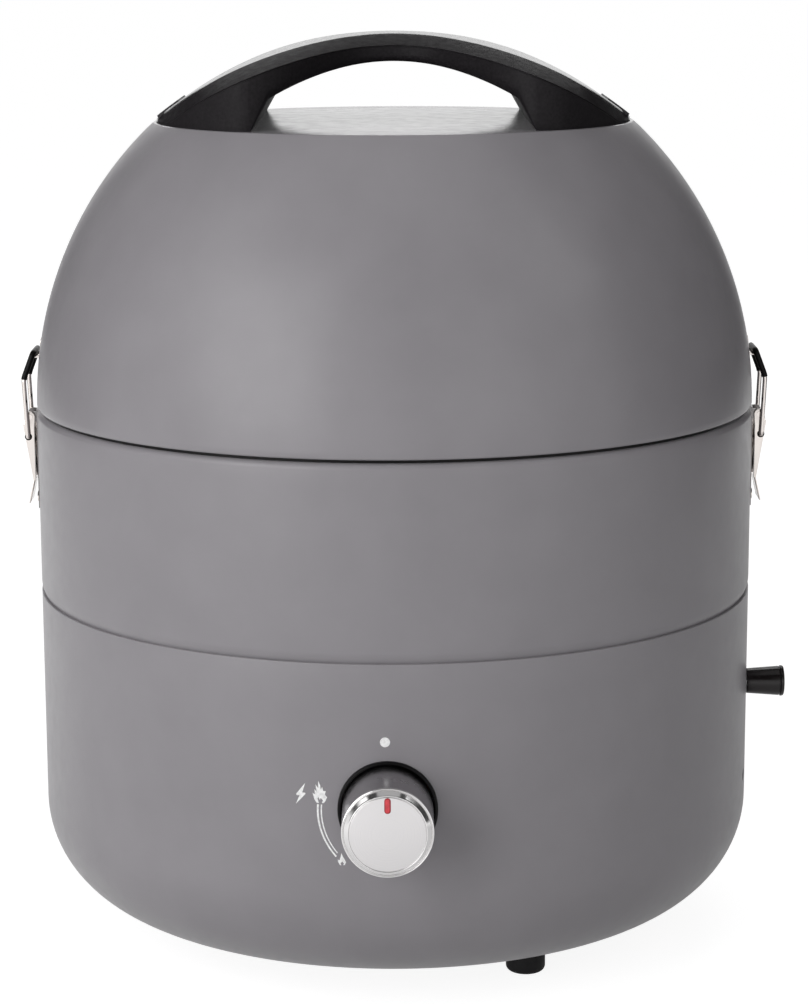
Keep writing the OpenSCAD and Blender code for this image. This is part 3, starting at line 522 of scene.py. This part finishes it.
def make_base():
    corner = (R - CORNER, Z_BOTTOM + CORNER)
    profile = [(0.0, Z_BOTTOM), (CENTRE_R, Z_BOTTOM)] + arc(*corner, CORNER, -90, 0, n=28)
    profile += wall_points(R, BASE_ROWS) + arc(R - BASE_LIP, Z_BASE - BASE_LIP, BASE_LIP, 0, 90, n=5)
    profile += [(FLANGE_R, Z_BASE), (FLANGE_R, Z_BASE - WALL), (R - WALL, Z_BASE - WALL)]
    profile += wall_points(R - WALL, BASE_INNER_ROWS) + arc(*corner, CORNER - WALL, 0, -90, n=16)
    profile += [(0.0, Z_BOTTOM + WALL)]
    cutters = [rod("y", (KNOB_X, -R, KNOB_Z), KNOB_HOLE_D, KNOB_HOLE_DEEP, sides=96),
               rod("x", (R, 0.0, PULL_Z), PULL_HOLE_D, HOLE_DEEP)]
    turns = [VENT_FIRST + VENT_STEP * k for k in range(VENTS_RIGHT)]
    turns += [180.0 - VENT_STEP * k for k in range(VENTS_LEFT)]
    for a in turns:
        hole = rod("x", (R, 0.0, VENT_Z), VENT_D, HOLE_DEEP, sides=32)
        hole.transform(rotation(a, "Z"))
        cutters.append(hole)
    door = [(DOOR_IN, DOOR_LOW), (DOOR_OUT, DOOR_LOW), (DOOR_OUT, DOOR_HIGH), (DOOR_IN, DOOR_HIGH)]
    cutters.append(turned(door, segments=84, a0=DOOR_FROM, a1=DOOR_TO))
    bowl = cut(turned(profile, SHELL_SEGMENTS), cutters)
    piece("base_bowl", bowl, "base", "grey_paint", ["base_shell"])


def make_ring():
    top = Z_SEAM - SEAM_GAP / 2
    profile = [(FLANGE_R, Z_BASE)] + [(R - inset, Z_BASE + up) for inset, up in RING_ROLL]
    profile += wall_points(R, RING_ROWS) + arc(R - RING_LIP, top - RING_LIP, RING_LIP, 0, 90, n=8)
    profile += [(FLANGE_R, top), (FLANGE_R, top - WALL), (R - WALL, top - WALL)]
    profile += [(R - WALL, Z_BASE + WALL), (FLANGE_R, Z_BASE + WALL)]
    ring = turned(profile, SHELL_SEGMENTS)
    piece("cooking_ring", ring, "base", "grey_paint", ["ring_shell"])


def make_lid():
    low = SEAM_GAP / 2
    outer = dome(0.0, low + HEM, TOP_H - CREASE, n=60)
    hem = arc(R - HEM, Z_SEAM + low + HEM, HEM, HEM_FROM, HEM_TO, n=5)
    edge = rounded([outer[-2], (TOP_R - CREASE_IN, Z_TOP, CREASE_R), (0.0, Z_TOP)], n=6, closed=False)[1:-1]
    inner = dome(WALL, low + HEM, TOP_H - WALL, n=30)
    profile = hem + outer[1:-1] + edge + [(CENTRE_R, Z_TOP), (0.0, Z_TOP), (0.0, Z_TOP - WALL)]
    profile += inner[::-1] + [(R - WALL, Z_SEAM + low + HEM_UP)]
    bm = turned(profile, SHELL_SEGMENTS)
    for f in bm.faces:
        middle = f.calc_center_median().z
        if all(abs(v.co.z - Z_TOP) < LEVEL for v in f.verts):
            f.material_index = 1
        elif middle > edge[0][1] or middle < outer[0][1]:
            f.material_index = 2
    materials = ["grey_paint", "grey_paint_flat", "grey_paint_edge"]
    piece("lid_dome", bm, "lid", materials, ["lid_shell"])


make_base()
make_ring()
make_lid()


# Handle
HANDLE_RISE = 38.3
ARC_R = (TOP_R ** 2 + HANDLE_RISE ** 2) / (2 * HANDLE_RISE)
ARC_Z = Z_TOP + HANDLE_RISE - ARC_R
FOOT_R = TOP_R - 1.2
GRIP_HALF, FOOT_HALF = 51.7, 59.3
SHOULDER = FOOT_HALF + 6.0
GRIP_H, GRIP_SPRING = 26.8, 13.2
GRIP_SAG = GRIP_H - GRIP_SPRING
GRIP_ARC_R = (GRIP_HALF ** 2 + GRIP_SAG ** 2) / (2 * GRIP_SAG)
GRIP_DEPTH = 34.0
BEVEL_W, BEVEL_H = 9.5, 4.7
BEVEL_W_SHARE, BEVEL_H_SHARE = 0.3, 0.8
CROWN_GRIP, CROWN_FOOT = 18.0, 52.0
SMOOTH_REACH, SMOOTH_END, SMOOTH_FADE = 9.0, 90.0, 14.0
SMOOTH_STEPS = 12
UNDER_SHARP, UNDER_R, UNDER_SHARE, UNDER_LEAST = 0.05, 4.5, 0.6, 0.15
CORNER_R, CORNER_H_SHARE, CORNER_W_SHARE = 0.7, 0.3, 0.2
GROOVE_SHARE = 0.22
CROWN_ROUND = 12
END_ANGLE = 2.5
SHOULDER_STATIONS = (64.0, 62.0, 60.2)
END_STEPS, LEG_STEPS, GRIP_STEPS = 26, 8, 26
TOP_ZONE_H, TOP_ZONE_W = 0.35 * BEVEL_H, 0.3 * BEVEL_W
BEVEL_ZONE_H, BEVEL_ZONE_END = 0.98 * BEVEL_H, FOOT_R - 2.0
COVER_FROM, COVER_TO = 93.2, 102.6
COVER_HALF, COVER_MARGIN = 20.0, 0.2
COVER_STEPS = 12

# Cover's section from its buried edge to its top: offset from the handle's arc, and inset
COVER_EDGE = ((-0.6, 0.0), (0.45, 0.0), (0.8, 0.8))


def handle_depth(x):
    """Half of the handle's depth: narrow at the grip, out to the flat top's edge at the feet."""
    x = abs(x)
    if x >= SHOULDER:
        return math.sqrt(max(FOOT_R ** 2 - x ** 2, 0.0))
    t = x / SHOULDER
    edge = math.sqrt(FOOT_R ** 2 - SHOULDER ** 2)
    return GRIP_DEPTH + (edge - GRIP_DEPTH) * t * t * t * (t * (6 * t - 15) + 10)


def handle_smooth(x):
    """That depth with its corner at the shoulder rounded."""
    reach = SMOOTH_REACH * min(1.0, max(0.0, (SMOOTH_END - abs(x)) / SMOOTH_FADE))
    steps = range(-SMOOTH_STEPS, SMOOTH_STEPS + 1)
    return sum(handle_depth(x + reach * k / SMOOTH_STEPS) for k in steps) / len(steps)


def handle_crown(x):
    """Half of the depth of the smooth crown on top, inside the bevels."""
    d = handle_smooth(x)
    t = min(1.0, abs(x) / SHOULDER)
    crown = CROWN_GRIP + (CROWN_FOOT - CROWN_GRIP) * t * t * (3 - 2 * t)
    return min(crown, d - min(BEVEL_W, BEVEL_W_SHARE * d))


def handle_under(x):
    """Height of the handle's underside above the flat top."""
    x = abs(x)
    if x <= GRIP_HALF:
        return GRIP_H - GRIP_ARC_R + math.sqrt(GRIP_ARC_R ** 2 - x ** 2)
    return max(0.0, GRIP_SPRING * (FOOT_HALF - x) / (FOOT_HALF - GRIP_HALF))


def handle_section(x):
    """Outline in the YZ plane, from the middle of the underside round to the middle of the top."""
    d = handle_smooth(x)
    low = handle_under(x)
    top = ARC_Z - Z_TOP + math.sqrt(ARC_R ** 2 - x ** 2)
    bevel = min(BEVEL_H * ARC_R / math.sqrt(ARC_R ** 2 - x ** 2), BEVEL_H_SHARE * (top - low))
    crown = handle_crown(x)
    under = UNDER_SHARP
    if low > 0.0:
        fade = UNDER_LEAST + (1.0 - UNDER_LEAST) * min(1.0, low / GRIP_SPRING)
        under = max(UNDER_SHARP, min(UNDER_R, UNDER_SHARE * (top - bevel - low)) * fade)
    corner = min(CORNER_R, CORNER_H_SHARE * bevel, CORNER_W_SHARE * (d - crown))
    line = GROOVE_SHARE * corner
    edge = top - bevel
    groove = [(d, edge - 5 * line), (d - 3 * line, edge - 4 * line), (d - 3 * line, edge - 2 * line)]
    outline = [(0.0, low), (d, low, under)] + groove
    outline += [(d, edge, line), (crown, top, CROWN_ROUND * corner), (0.0, top)]
    return rounded(outline, n=5, closed=False)


def make_handle():
    shoulder = math.degrees(math.acos(SHOULDER / FOOT_R))
    ends = [END_ANGLE + (shoulder - END_ANGLE) * k / END_STEPS for k in range(END_STEPS + 1)]
    stations = [FOOT_R * math.cos(math.radians(a)) for a in ends]
    stations += [*SHOULDER_STATIONS, FOOT_HALF]
    stations += [FOOT_HALF + (GRIP_HALF - FOOT_HALF) * k / LEG_STEPS for k in range(1, LEG_STEPS)]
    stations += [GRIP_HALF * (1.0 - k / GRIP_STEPS) for k in range(GRIP_STEPS)]
    rows = []
    for x in [-x for x in stations] + [0.0] + stations[::-1]:
        half = handle_section(x)
        full = [(-y, z) for y, z in half[::-1]] + half[1:-1]
        rows.append([(x, y, Z_TOP + z) for y, z in full])
    bm = loft(rows)
    for f in bm.faces:
        x, y, z = f.calc_center_median()
        below = math.sqrt(ARC_R ** 2 - x ** 2) - (z - ARC_Z)
        if below < TOP_ZONE_H and abs(y) < handle_crown(x) + TOP_ZONE_W:
            f.material_index = 2
        elif below < BEVEL_ZONE_H and abs(x) < BEVEL_ZONE_END:
            f.material_index = 1
    materials = ["black_plastic", "black_bevel", "black_top"]
    piece("carry_handle", bm, "lid", materials, ["lid_handle"], angle=28.0)


def make_end_cover(s):
    """Cover on one end of the handle's top, a little proud of it."""
    t0, t1 = math.asin(COVER_FROM / ARC_R), math.asin(COVER_TO / ARC_R)
    rows = []
    for i in range(COVER_STEPS + 1):
        t = t0 + (t1 - t0) * i / COVER_STEPS
        row = []
        for off, inset in COVER_EDGE:
            x, z = (ARC_R + off) * math.sin(t), ARC_Z + (ARC_R + off) * math.cos(t)
            edge = math.sqrt(max(FOOT_R ** 2 - x ** 2, 1.0)) - COVER_MARGIN
            row.append((x, min(COVER_HALF - inset, edge), z))
        rows.append(row + [(x, -w, z) for x, w, z in row[::-1]])
    return mirrored(loft(rows), s)


make_handle()
piece("handle_covers", join(make_end_cover(-1), make_end_cover(1)), "lid", "grey_plastic",
      ["handle_end_caps"], angle=28.0)


# Control knob: radii, and places along its axis
KNOB_R, KNOB_SOFT = 18.5, 0.4
KNOB_BACK, KNOB_FACE = R - 2.0, R + 33.0
RIM_BACK, RIM_LAP, RIM_IN = 3.2, 0.1, 0.3
DISH = 0.5
DISC_R, DISC_SINK, DISC_SOFT = 15.2, 0.15, 0.2
BEZEL_IN, BEZEL_OUT = 19.0, 20.4
BEZEL_BACK, BEZEL_FRONT = R - 10.0, R + 1.5
BEZEL_IN_SOFT, BEZEL_OUT_SOFT = 0.5, 0.6
KNOB_SEGMENTS = 160

# Knob's rim from its back inwards: radius, depth below the face, rounding
KNOB_RIM = ((18.3, 3.2, 0.0), (18.5, 3.0, 0.1), (18.42, 2.35, 0.25), (18.0, 2.1, 0.2), (17.7, 2.85, 0.15),
            (17.35, 2.0, 0.2), (16.15, 0.55, 0.2), (15.9, 0.1, 0.2), (15.55, 0.05, 0.15), (15.4, 0.5, 0.1))

# Pointer's edge and core: half width, lowest and highest place on the face, rise above it, depth into it
POINTER_EDGE = (1.3, 8.6, 15.0, 0.08, 0.2)
POINTER_CORE = (0.85, 9.05, 14.55, 0.18, 0.1)
POINTER_SOFT = 0.08


def pointer_bar(half, low, high, rise, sink):
    outline = rounded([(-half, low, half), (half, low, half), (half, high, half), (-half, high, half)], n=8)
    outline = [(KNOB_X + x, KNOB_Z + z) for x, z in outline]
    return soften(prism(outline, -KNOB_FACE - rise, -KNOB_FACE + sink), POINTER_SOFT)


def make_knob():
    place = along("y", (KNOB_X, 0.0, KNOB_Z))
    step = KNOB_FACE - RIM_BACK
    dish = KNOB_FACE - DISH
    side = rounded([(0.0, KNOB_BACK), (KNOB_R, KNOB_BACK, KNOB_SOFT), (KNOB_R, step, RIM_LAP),
                    (KNOB_R - RIM_IN, step + RIM_LAP), (0.0, step + RIM_LAP)])
    rim = [(0.0, step)] + [(r, KNOB_FACE - below, soft) for r, below, soft in KNOB_RIM] + [(0.0, dish)]
    rim = second_material(turned(rounded(rim), KNOB_SEGMENTS))
    sleeve = join(turned(side, KNOB_SEGMENTS), rim)
    piece("knob_sleeve", sleeve, "knob", ["knob_side_shaded", "knob_metal"], ["knob"], angle=25.0,
          move=place)
    disc_z = KNOB_FACE - DISC_SINK
    disc = rounded([(0.0, dish), (DISC_R, dish), (DISC_R, disc_z, DISC_SOFT), (0.0, disc_z)], n=4)
    disc = turned(disc, KNOB_SEGMENTS)
    piece("knob_disc", disc, "knob", "knob_face", ["knob_face"], angle=25.0, move=place)
    ring = rounded([(BEZEL_IN, BEZEL_BACK), (BEZEL_OUT, BEZEL_BACK),
                    (BEZEL_OUT, BEZEL_FRONT, BEZEL_OUT_SOFT), (BEZEL_IN, BEZEL_FRONT, BEZEL_IN_SOFT)])
    ring = turned(ring, KNOB_SEGMENTS)
    piece("knob_ring", ring, "base", "black_ring", ["knob_bezel"], angle=25.0, move=place)
    # The pointer's edge is a darker red: painted shade of the recess round the pointer's core
    mark = join(pointer_bar(*POINTER_EDGE), second_material(pointer_bar(*POINTER_CORE)))
    piece("knob_mark", mark, "knob", ["red_edge_shade", "red_mark"], ["knob_pointer"], angle=30.0)


make_knob()


# Pull knob: places along X, and radii
PULL_BACK, PULL_END = R + 1.2, R + 18.2
PULL_ROD_R, PULL_NECK_R, PULL_NECK_SOFT = 3.05, 5.7, 0.4
PULL_DISH, PULL_BORE = 0.5, 6.0

# Pull knob's flared rim: radius, depth below its end, rounding
PULL_RIM = ((6.75, 2.3, 0.2), (6.55, 2.1, 0.1), (6.6, 1.8, 0.1), (7.1, 1.5, 0.4),
            (6.9, 0.0, 0.9), (5.6, 0.0, 0.3), (5.2, 0.5, 0.2))


def make_pull_knob():
    bore = PULL_END - PULL_BORE
    profile = [(PULL_ROD_R, PULL_BACK), (PULL_NECK_R, PULL_BACK, PULL_NECK_SOFT)]
    profile += [(r, PULL_END - below, soft) for r, below, soft in PULL_RIM]
    profile += [(0.0, PULL_END - PULL_DISH), (0.0, bore), (PULL_ROD_R, bore)]
    knob = turned(rounded(profile, n=4), segments=96)
    piece("lock_pull_knob", knob, "cartridge_lock", "black_pull", ["pull_knob"], angle=30.0,
          move=along("x", (0.0, 0.0, PULL_Z)))


make_pull_knob()


# Latches: places outwards from the wall and up from the seam, with roundings
PIVOT, PIVOT_R = (3.8, -6.5), 2.3
PIVOT_FROM, PIVOT_TO = 170, 10
BAIL_PIVOT = (4.6, -15.5)
BAIL_BEND = (5.8, 10.8)
BAIL_BAR = (1.3, 22.6)
BAIL_D, BAIL_BEND_R = 2.0, 2.0
BAIL_LEG_Y, BAIL_FOOT_Y = 9.2, 5.8
SLEEVE_D, SLEEVE_START = 2.6, 0.4
WEB = ((6.35, -9.3, 0.3), (7.0, -9.5, 0.6), (2.9, -35.5, 1.0),
       (5.2, -46.0, 0.2), (4.75, -46.1, 0.2), (2.4, -35.6, 1.0))
WEB_HALF, WEB_SOFT = 7.3, 0.2
CHEEK = ((7.0, -9.5, 0.6), (2.9, -35.5, 0.4), (1.8, -35.6), (1.9, -12.0), (1.5, -6.5))
CHEEK_Y, CHEEK_T, CHEEK_SOFT = (-7.4, 6.2), 1.2, 0.32
ROLL, ROLL_D = (6.2, -9.9), 1.5
SHADE_DISC_D, SHADE_DISC_T, SHADE_DISC_Y = 3.3, 0.12, 7.41
KEEPER_LOW, KEEPER_HIGH = 14.0, 29.6
KEEPER_BACK, KEEPER_FRONT = -0.05, -0.4
KEEPER_RIM, KEEPER_TURN = 0.4, 2.2
LEDGE_IN, LEDGE_OUT, LEDGE_HALF = -3.2, 1.6, 6.0
LEDGE_LOW, LEDGE_HIGH = 20.1, 21.3
LEDGE_ROUND, LEDGE_SOFT = 0.3, 0.25
RIVET_Y, RIVET_H, RIVET_TILT = 3.6, 27.0, 81.0
RIVET_HEAD = ((0.0, -0.3), (2.1, -0.3), (2.1, 0.5, 0.2), (1.4, 0.62, 0.6), (0.0, 0.65))


def on_side(outline):
    """Outline on the right side of the body from places outwards and up."""
    return [(R + x, Z_SEAM + z) for x, z in outline]


def at_side(place, y):
    return R + place[0], y, Z_SEAM + place[1]


def make_latch(side, s):
    path = [at_side(BAIL_PIVOT, BAIL_FOOT_Y), at_side(BAIL_PIVOT, BAIL_LEG_Y),
            at_side(BAIL_BEND, BAIL_LEG_Y), at_side(BAIL_BAR, BAIL_LEG_Y)]
    path += [(x, -y, z) for x, y, z in path[::-1]]
    path = bent(path, BAIL_BEND_R)
    # A black sleeve over the bail's hook; its black also paints the dark reflection that the chrome hook
    # shows
    hook = [p for p in path if p.z > Z_SEAM + BAIL_BEND[1] - SLEEVE_START]
    sleeve = mirrored(tube(hook, SLEEVE_D), s)
    piece("bail_sleeve_" + side, sleeve, f"{side}_bail", "black_ring", angle=40.0)
    wire = mirrored(tube(path, BAIL_D), s)
    piece("bail_wire_" + side, wire, f"{side}_bail", "bright_steel",
          [f"latch_bail_{side}"], angle=40.0)
    cheek = rounded(CHEEK, n=4) + arc(*PIVOT, PIVOT_R, PIVOT_FROM, PIVOT_TO, n=10)
    parts = [soften(prism(on_side(rounded(WEB, n=4)), -WEB_HALF, WEB_HALF), WEB_SOFT)]
    for y in CHEEK_Y:
        parts.append(soften(prism(on_side(cheek), y, y + CHEEK_T), CHEEK_SOFT, segments=3))
    parts.append(tube([at_side(ROLL, -WEB_HALF), at_side(ROLL, WEB_HALF)], ROLL_D))
    # Black discs round the bail's ends on the cheeks: they paint the hole round each end and the shadow
    # under the wire
    shade_discs = [rod("y", at_side(BAIL_PIVOT, y), SHADE_DISC_D, SHADE_DISC_T, sides=32) for y in (-SHADE_DISC_Y, SHADE_DISC_Y)]
    lever = mirrored(join(join(*parts), second_material(join(*shade_discs))), s)
    piece("lever_" + side, lever, f"{side}_lever", ["bright_steel", "black_ring"],
          [f"latch_lever_{side}"], angle=30.0)


def make_keepers():
    """Low keeper plates on the lid, with the ledge that holds the bail and two flat rivets."""
    rivets = []
    for side, s in (("left", -1), ("right", 1)):
        front = dome(KEEPER_FRONT, KEEPER_LOW + KEEPER_RIM, KEEPER_HIGH - KEEPER_RIM, n=10)
        outline = dome(KEEPER_BACK, KEEPER_LOW, KEEPER_HIGH, n=10) + front[::-1]
        plate = turned(outline, segments=14, a0=-KEEPER_TURN, a1=KEEPER_TURN)
        ledge = rounded([(LEDGE_IN, LEDGE_LOW), (LEDGE_OUT, LEDGE_LOW, LEDGE_ROUND),
                         (LEDGE_OUT, LEDGE_HIGH, LEDGE_ROUND), (LEDGE_IN, LEDGE_HIGH)], n=4)
        shelf = soften(prism(on_side(ledge), -LEDGE_HALF, LEDGE_HALF), LEDGE_SOFT)
        keeper = mirrored(join(plate, shelf), s)
        piece(f"keeper_plate_{side}", keeper, "lid", "bright_steel", [f"keeper_{side}"],
              angle=30.0)
        x, z = dome(0.0, RIVET_H, RIVET_H, n=1)[0]
        for y in (-RIVET_Y, RIVET_Y):
            head = turned(rounded(RIVET_HEAD, n=4), segments=32)
            head.transform(Matrix.Translation((x, y, z)) @ rotation(RIVET_TILT, "Y"))
            rivets.append(mirrored(head, s))
    heads = join(*rivets)
    piece("keeper_rivet_heads", heads, "lid", "bright_steel", ["keeper_rivets"], angle=30.0)


make_keepers()
for side_name, side_sign in (("left", -1), ("right", 1)):
    make_latch(side_name, side_sign)


# Printed control marks on the front wall
PRINT_T = 0.05
DOT_AT, DOT_R = (-4.4, 124.8), 2.05

# The symbols are drawn on a fine grid: its origin, its units in a millimetre, and its place on the wall
GRID_AT = (622, 555)
GRID_PER_MM = (38.5, 36.3)
GRID_PLACE = (-31.1, 97.85)
BOLT = ((397, 236), (253, 412), (262, 432), (308, 428), (248, 564), (404, 402), (394, 386), (350, 384))
FLAME = ((575, 530), (540, 475), (513, 378), (547, 402), (543, 322), (578, 362), (558, 246),
         (602, 306), (603, 190), (634, 262), (642, 326), (664, 280), (682, 346), (722, 344),
         (706, 398), (740, 436), (716, 492), (690, 527), (656, 530), (674, 488), (640, 452),
         (628, 486), (604, 440), (588, 462), (612, 530))
SMALL_FLAME = ((934, 1474), (904, 1424), (900, 1386), (926, 1402), (944, 1346), (958, 1288),
               (984, 1346), (1004, 1376), (1030, 1424), (1012, 1466), (986, 1476), (996, 1442),
               (968, 1416), (944, 1446), (956, 1476))


def on_wall(outline):
    """Thin printed shape: outline of (x, z) wrapped on the front wall."""
    bm = bmesh.new()
    flat = bmesh.new()
    flat.faces.new([flat.verts.new((x, z, 0.0)) for x, z in outline])
    bmesh.ops.triangulate(flat, faces=flat.faces)
    flat.verts.ensure_lookup_table()
    layers = []
    for r in (R + PRINT_T, R - PRINT_T):
        layers.append([bm.verts.new((v.co.x, -math.sqrt(r * r - v.co.x ** 2), v.co.y)) for v in flat.verts])
    for f in flat.faces:
        ids = [v.index for v in f.verts]
        bm.faces.new([layers[0][i] for i in ids])
        bm.faces.new([layers[1][i] for i in reversed(ids)])
    n = len(outline)
    for i in range(n):
        j = (i + 1) % n
        bm.faces.new((layers[0][i], layers[0][j], layers[1][j], layers[1][i]))
    flat.free()
    return bm


def from_grid(points):
    """Outline in millimetres on the wall from points of the grid, which counts downwards."""
    out = []
    for x, y in points:
        across = (x - GRID_AT[0]) / GRID_PER_MM[0]
        down = (y - GRID_AT[1]) / GRID_PER_MM[1]
        out.append((GRID_PLACE[0] + across, GRID_PLACE[1] - down))
    return out


def swept_line(r0, r1, w0, w1, a0, a1, n=24):
    """Line about the knob's axis whose radius and width change evenly from end to end."""
    outer, inner = [], []
    for i in range(n + 1):
        t = i / n
        a = math.radians(a0 + (a1 - a0) * t)
        r, w = r0 + (r1 - r0) * t, w0 + (w1 - w0) * t
        outer.append((KNOB_X + (r + w / 2) * math.cos(a), KNOB_Z + (r + w / 2) * math.sin(a)))
        inner.append((KNOB_X + (r - w / 2) * math.cos(a), KNOB_Z + (r - w / 2) * math.sin(a)))
    return outer + inner[::-1]


def make_marks():
    shapes = {
        "mark_off_dot": arc(*DOT_AT, DOT_R, 0, 350, n=35),
        "mark_spark": from_grid(BOLT),
        "mark_flame_large": from_grid(FLAME),
        "mark_flame_small": from_grid(SMALL_FLAME),
        "mark_scale_outer": swept_line(r0=28.4, r1=29.3, w0=0.75, w1=0.7, a0=177.0, a1=224.0),
        "mark_scale_inner": swept_line(r0=26.95, r1=27.9, w0=0.55, w1=0.5, a0=177.0, a1=222.5),
    }
    for name, outline in shapes.items():
        piece(name, on_wall(outline), "base", "print_white", angle=60.0)


make_marks()


# Materials of the CAD nodes that stay; the lid's band and the latch plates get dark materials that paint
# the shade in the lid's seam and in the gap beside the levers
PAINTED_SHADE = {"lid_band": "black_ring", "latch_plate_left": "plate_steel_painted_shade", "latch_plate_right": "plate_steel_painted_shade"}
SLOT_OF = {s["node"]: s["material_slot"] for s in frame["record"]["subparts"]}
for node_name, node_obj in frame["nodes"].items():
    for material_slot in node_obj.material_slots:
        material_slot.material = MATS[PAINTED_SHADE.get(node_name, SLOT_OF[node_name])]


# Floor and light, in metres
FLOOR_HALF = 60.0
FLOOR_GREY, FLOOR_FAINT, FLOOR_GLOW = 0.66, 0.3, 0.9
ROOM_LIGHT = 0.33
CARD_GREY, CARD_ROUGH = 0.05, 0.9
LIGHT_AIM = (0.0, 0.0, 0.2)

# Glossy surfaces see less of the floor's glow round one place
DIM_AT, DIM_FROM, DIM_TO, DIM_LEVEL = (0.4, 0.3, 0.0), 0.4, 1.0, 0.4

# Glossy surfaces see the room fade between two heights of a ray's direction
MIRROR_FROM, MIRROR_TO, MIRROR_LOW = 0.16, 0.40, 0.06


def stage_object(name, bm):
    mesh = bpy.data.meshes.new(name)
    bm.to_mesh(mesh)
    bm.free()
    mat = bpy.data.materials.new(name)
    mat.use_nodes = True
    mesh.materials.append(mat)
    obj = bpy.data.objects.new(name, mesh)
    scene.collection.objects.link(obj)
    return obj, mat.node_tree


def make_floor():
    """Pale floor that takes shadow, and is white to the camera and to glossy surfaces."""
    bm = bmesh.new()
    bmesh.ops.create_grid(bm, x_segments=1, y_segments=1, size=FLOOR_HALF)
    floor, tree = stage_object("floor", bm)
    tree.nodes.clear()
    path = node(tree, "LightPath").outputs
    place = node(tree, "NewGeometry").outputs["Position"]
    shifted = node(tree, "VectorMath", {0: place, 1: DIM_AT}, operation="SUBTRACT")
    reach = node(tree, "VectorMath", {0: shifted.outputs[0]}, operation="LENGTH")
    far = node(tree, "MapRange", {"Value": reach.outputs["Value"], "From Min": DIM_FROM, "From Max": DIM_TO,
                                  "To Min": DIM_LEVEL, "To Max": 1.0}, interpolation_type="SMOOTHSTEP")
    shine = node(tree, "Math", {0: path["Is Glossy Ray"], 1: far.outputs[0]}, operation="MULTIPLY")
    seen = node(tree, "Math", {0: path["Is Camera Ray"], 1: shine.outputs[0]}, operation="MAXIMUM")
    plain = node(tree, "BsdfDiffuse", {"Color": grey(FLOOR_GREY)})
    faint = node(tree, "BsdfDiffuse", {"Color": grey(FLOOR_FAINT)})
    glow = node(tree, "Emission", {"Color": grey(1.0), "Strength": FLOOR_GLOW})
    both = node(tree, "AddShader", {0: faint.outputs[0], 1: glow.outputs[0]})
    mix = node(tree, "MixShader", {0: seen.outputs[0], 1: plain.outputs[0], 2: both.outputs[0]})
    node(tree, "OutputMaterial", {"Surface": mix.outputs[0]})


def make_world():
    """Even room light, white to the camera; glossy surfaces see it fade upwards."""
    world = bpy.data.worlds.new("studio")
    scene.world = world
    world.use_nodes = True
    tree = world.node_tree
    tree.nodes.clear()
    way = node(tree, "TexCoord").outputs["Generated"]
    up = node(tree, "SeparateXYZ", {0: way}).outputs["Z"]
    fade = node(tree, "MapRange", {"Value": up, "From Min": MIRROR_FROM, "From Max": MIRROR_TO,
                                   "To Min": 1.0, "To Max": MIRROR_LOW})
    room = node(tree, "Background", {"Color": grey(1.0), "Strength": ROOM_LIGHT})
    mirror = node(tree, "Background", {"Color": grey(1.0), "Strength": fade.outputs[0]})
    white = node(tree, "Background", {"Color": grey(1.0), "Strength": 1.0})
    path = node(tree, "LightPath").outputs
    lit = node(tree, "MixShader", {0: path["Is Glossy Ray"], 1: room.outputs[0], 2: mirror.outputs[0]})
    clear = node(tree, "Math", {0: path["Is Camera Ray"], 1: path["Is Transmission Ray"]},
                 operation="MAXIMUM")
    shown = node(tree, "MixShader", {0: clear.outputs[0], 1: lit.outputs[0], 2: white.outputs[0]})
    node(tree, "OutputWorld", {"Surface": shown.outputs[0]})


def dark_card(name, x, y0, y1, z0, z1):
    """Dark card beside the object that the camera doesn't see."""
    bm = bmesh.new()
    bm.faces.new([bm.verts.new(p) for p in ((x, y0, z0), (x, y1, z0), (x, y1, z1), (x, y0, z1))])
    obj, tree = stage_object(name, bm)
    obj.visible_camera = False
    shader = tree.nodes["Principled BSDF"]
    shader.inputs["Base Color"].default_value = grey(CARD_GREY)
    shader.inputs["Roughness"].default_value = CARD_ROUGH


def area_light(name, azimuth, height, distance, wide, high, power):
    data = bpy.data.lights.new(name, "AREA")
    data.shape = "RECTANGLE"
    data.size = wide
    data.size_y = high
    data.energy = power
    obj = bpy.data.objects.new(name, data)
    a, h = math.radians(azimuth), math.radians(height)
    away = Vector((math.sin(a) * math.cos(h), -math.cos(a) * math.cos(h), math.sin(h)))
    obj.location = Vector(LIGHT_AIM) + away * distance
    obj.rotation_euler = (-away).to_track_quat("-Z", "Y").to_euler()
    scene.collection.objects.link(obj)


make_floor()
make_world()
dark_card("flag_right", x=0.75, y0=-0.25, y1=1.6, z0=0.1, z1=1.5)
dark_card("flag_left", x=-0.75, y0=0.05, y1=1.6, z0=0.12, z1=1.5)
area_light("key", azimuth=-41.0, height=10.0, distance=2.2, wide=1.5, high=2.4, power=37.0)
area_light("fill", azimuth=30.0, height=16.0, distance=2.6, wide=1.6, high=1.6, power=4.6)
area_light("upper_left", azimuth=-70.0, height=34.0, distance=2.0, wide=0.8, high=1.2, power=4.5)
area_light("upper_right", azimuth=66.0, height=40.0, distance=2.0, wide=0.8, high=1.0, power=3.6)
area_light("back", azimuth=168.0, height=46.0, distance=2.0, wide=2.4, high=0.5, power=9.0)
area_light("back_low", azimuth=180.0, height=25.0, distance=2.2, wide=2.4, high=0.3, power=4.0)
area_light("top", azimuth=10.0, height=80.0, distance=1.8, wide=1.4, high=1.4, power=2.6)
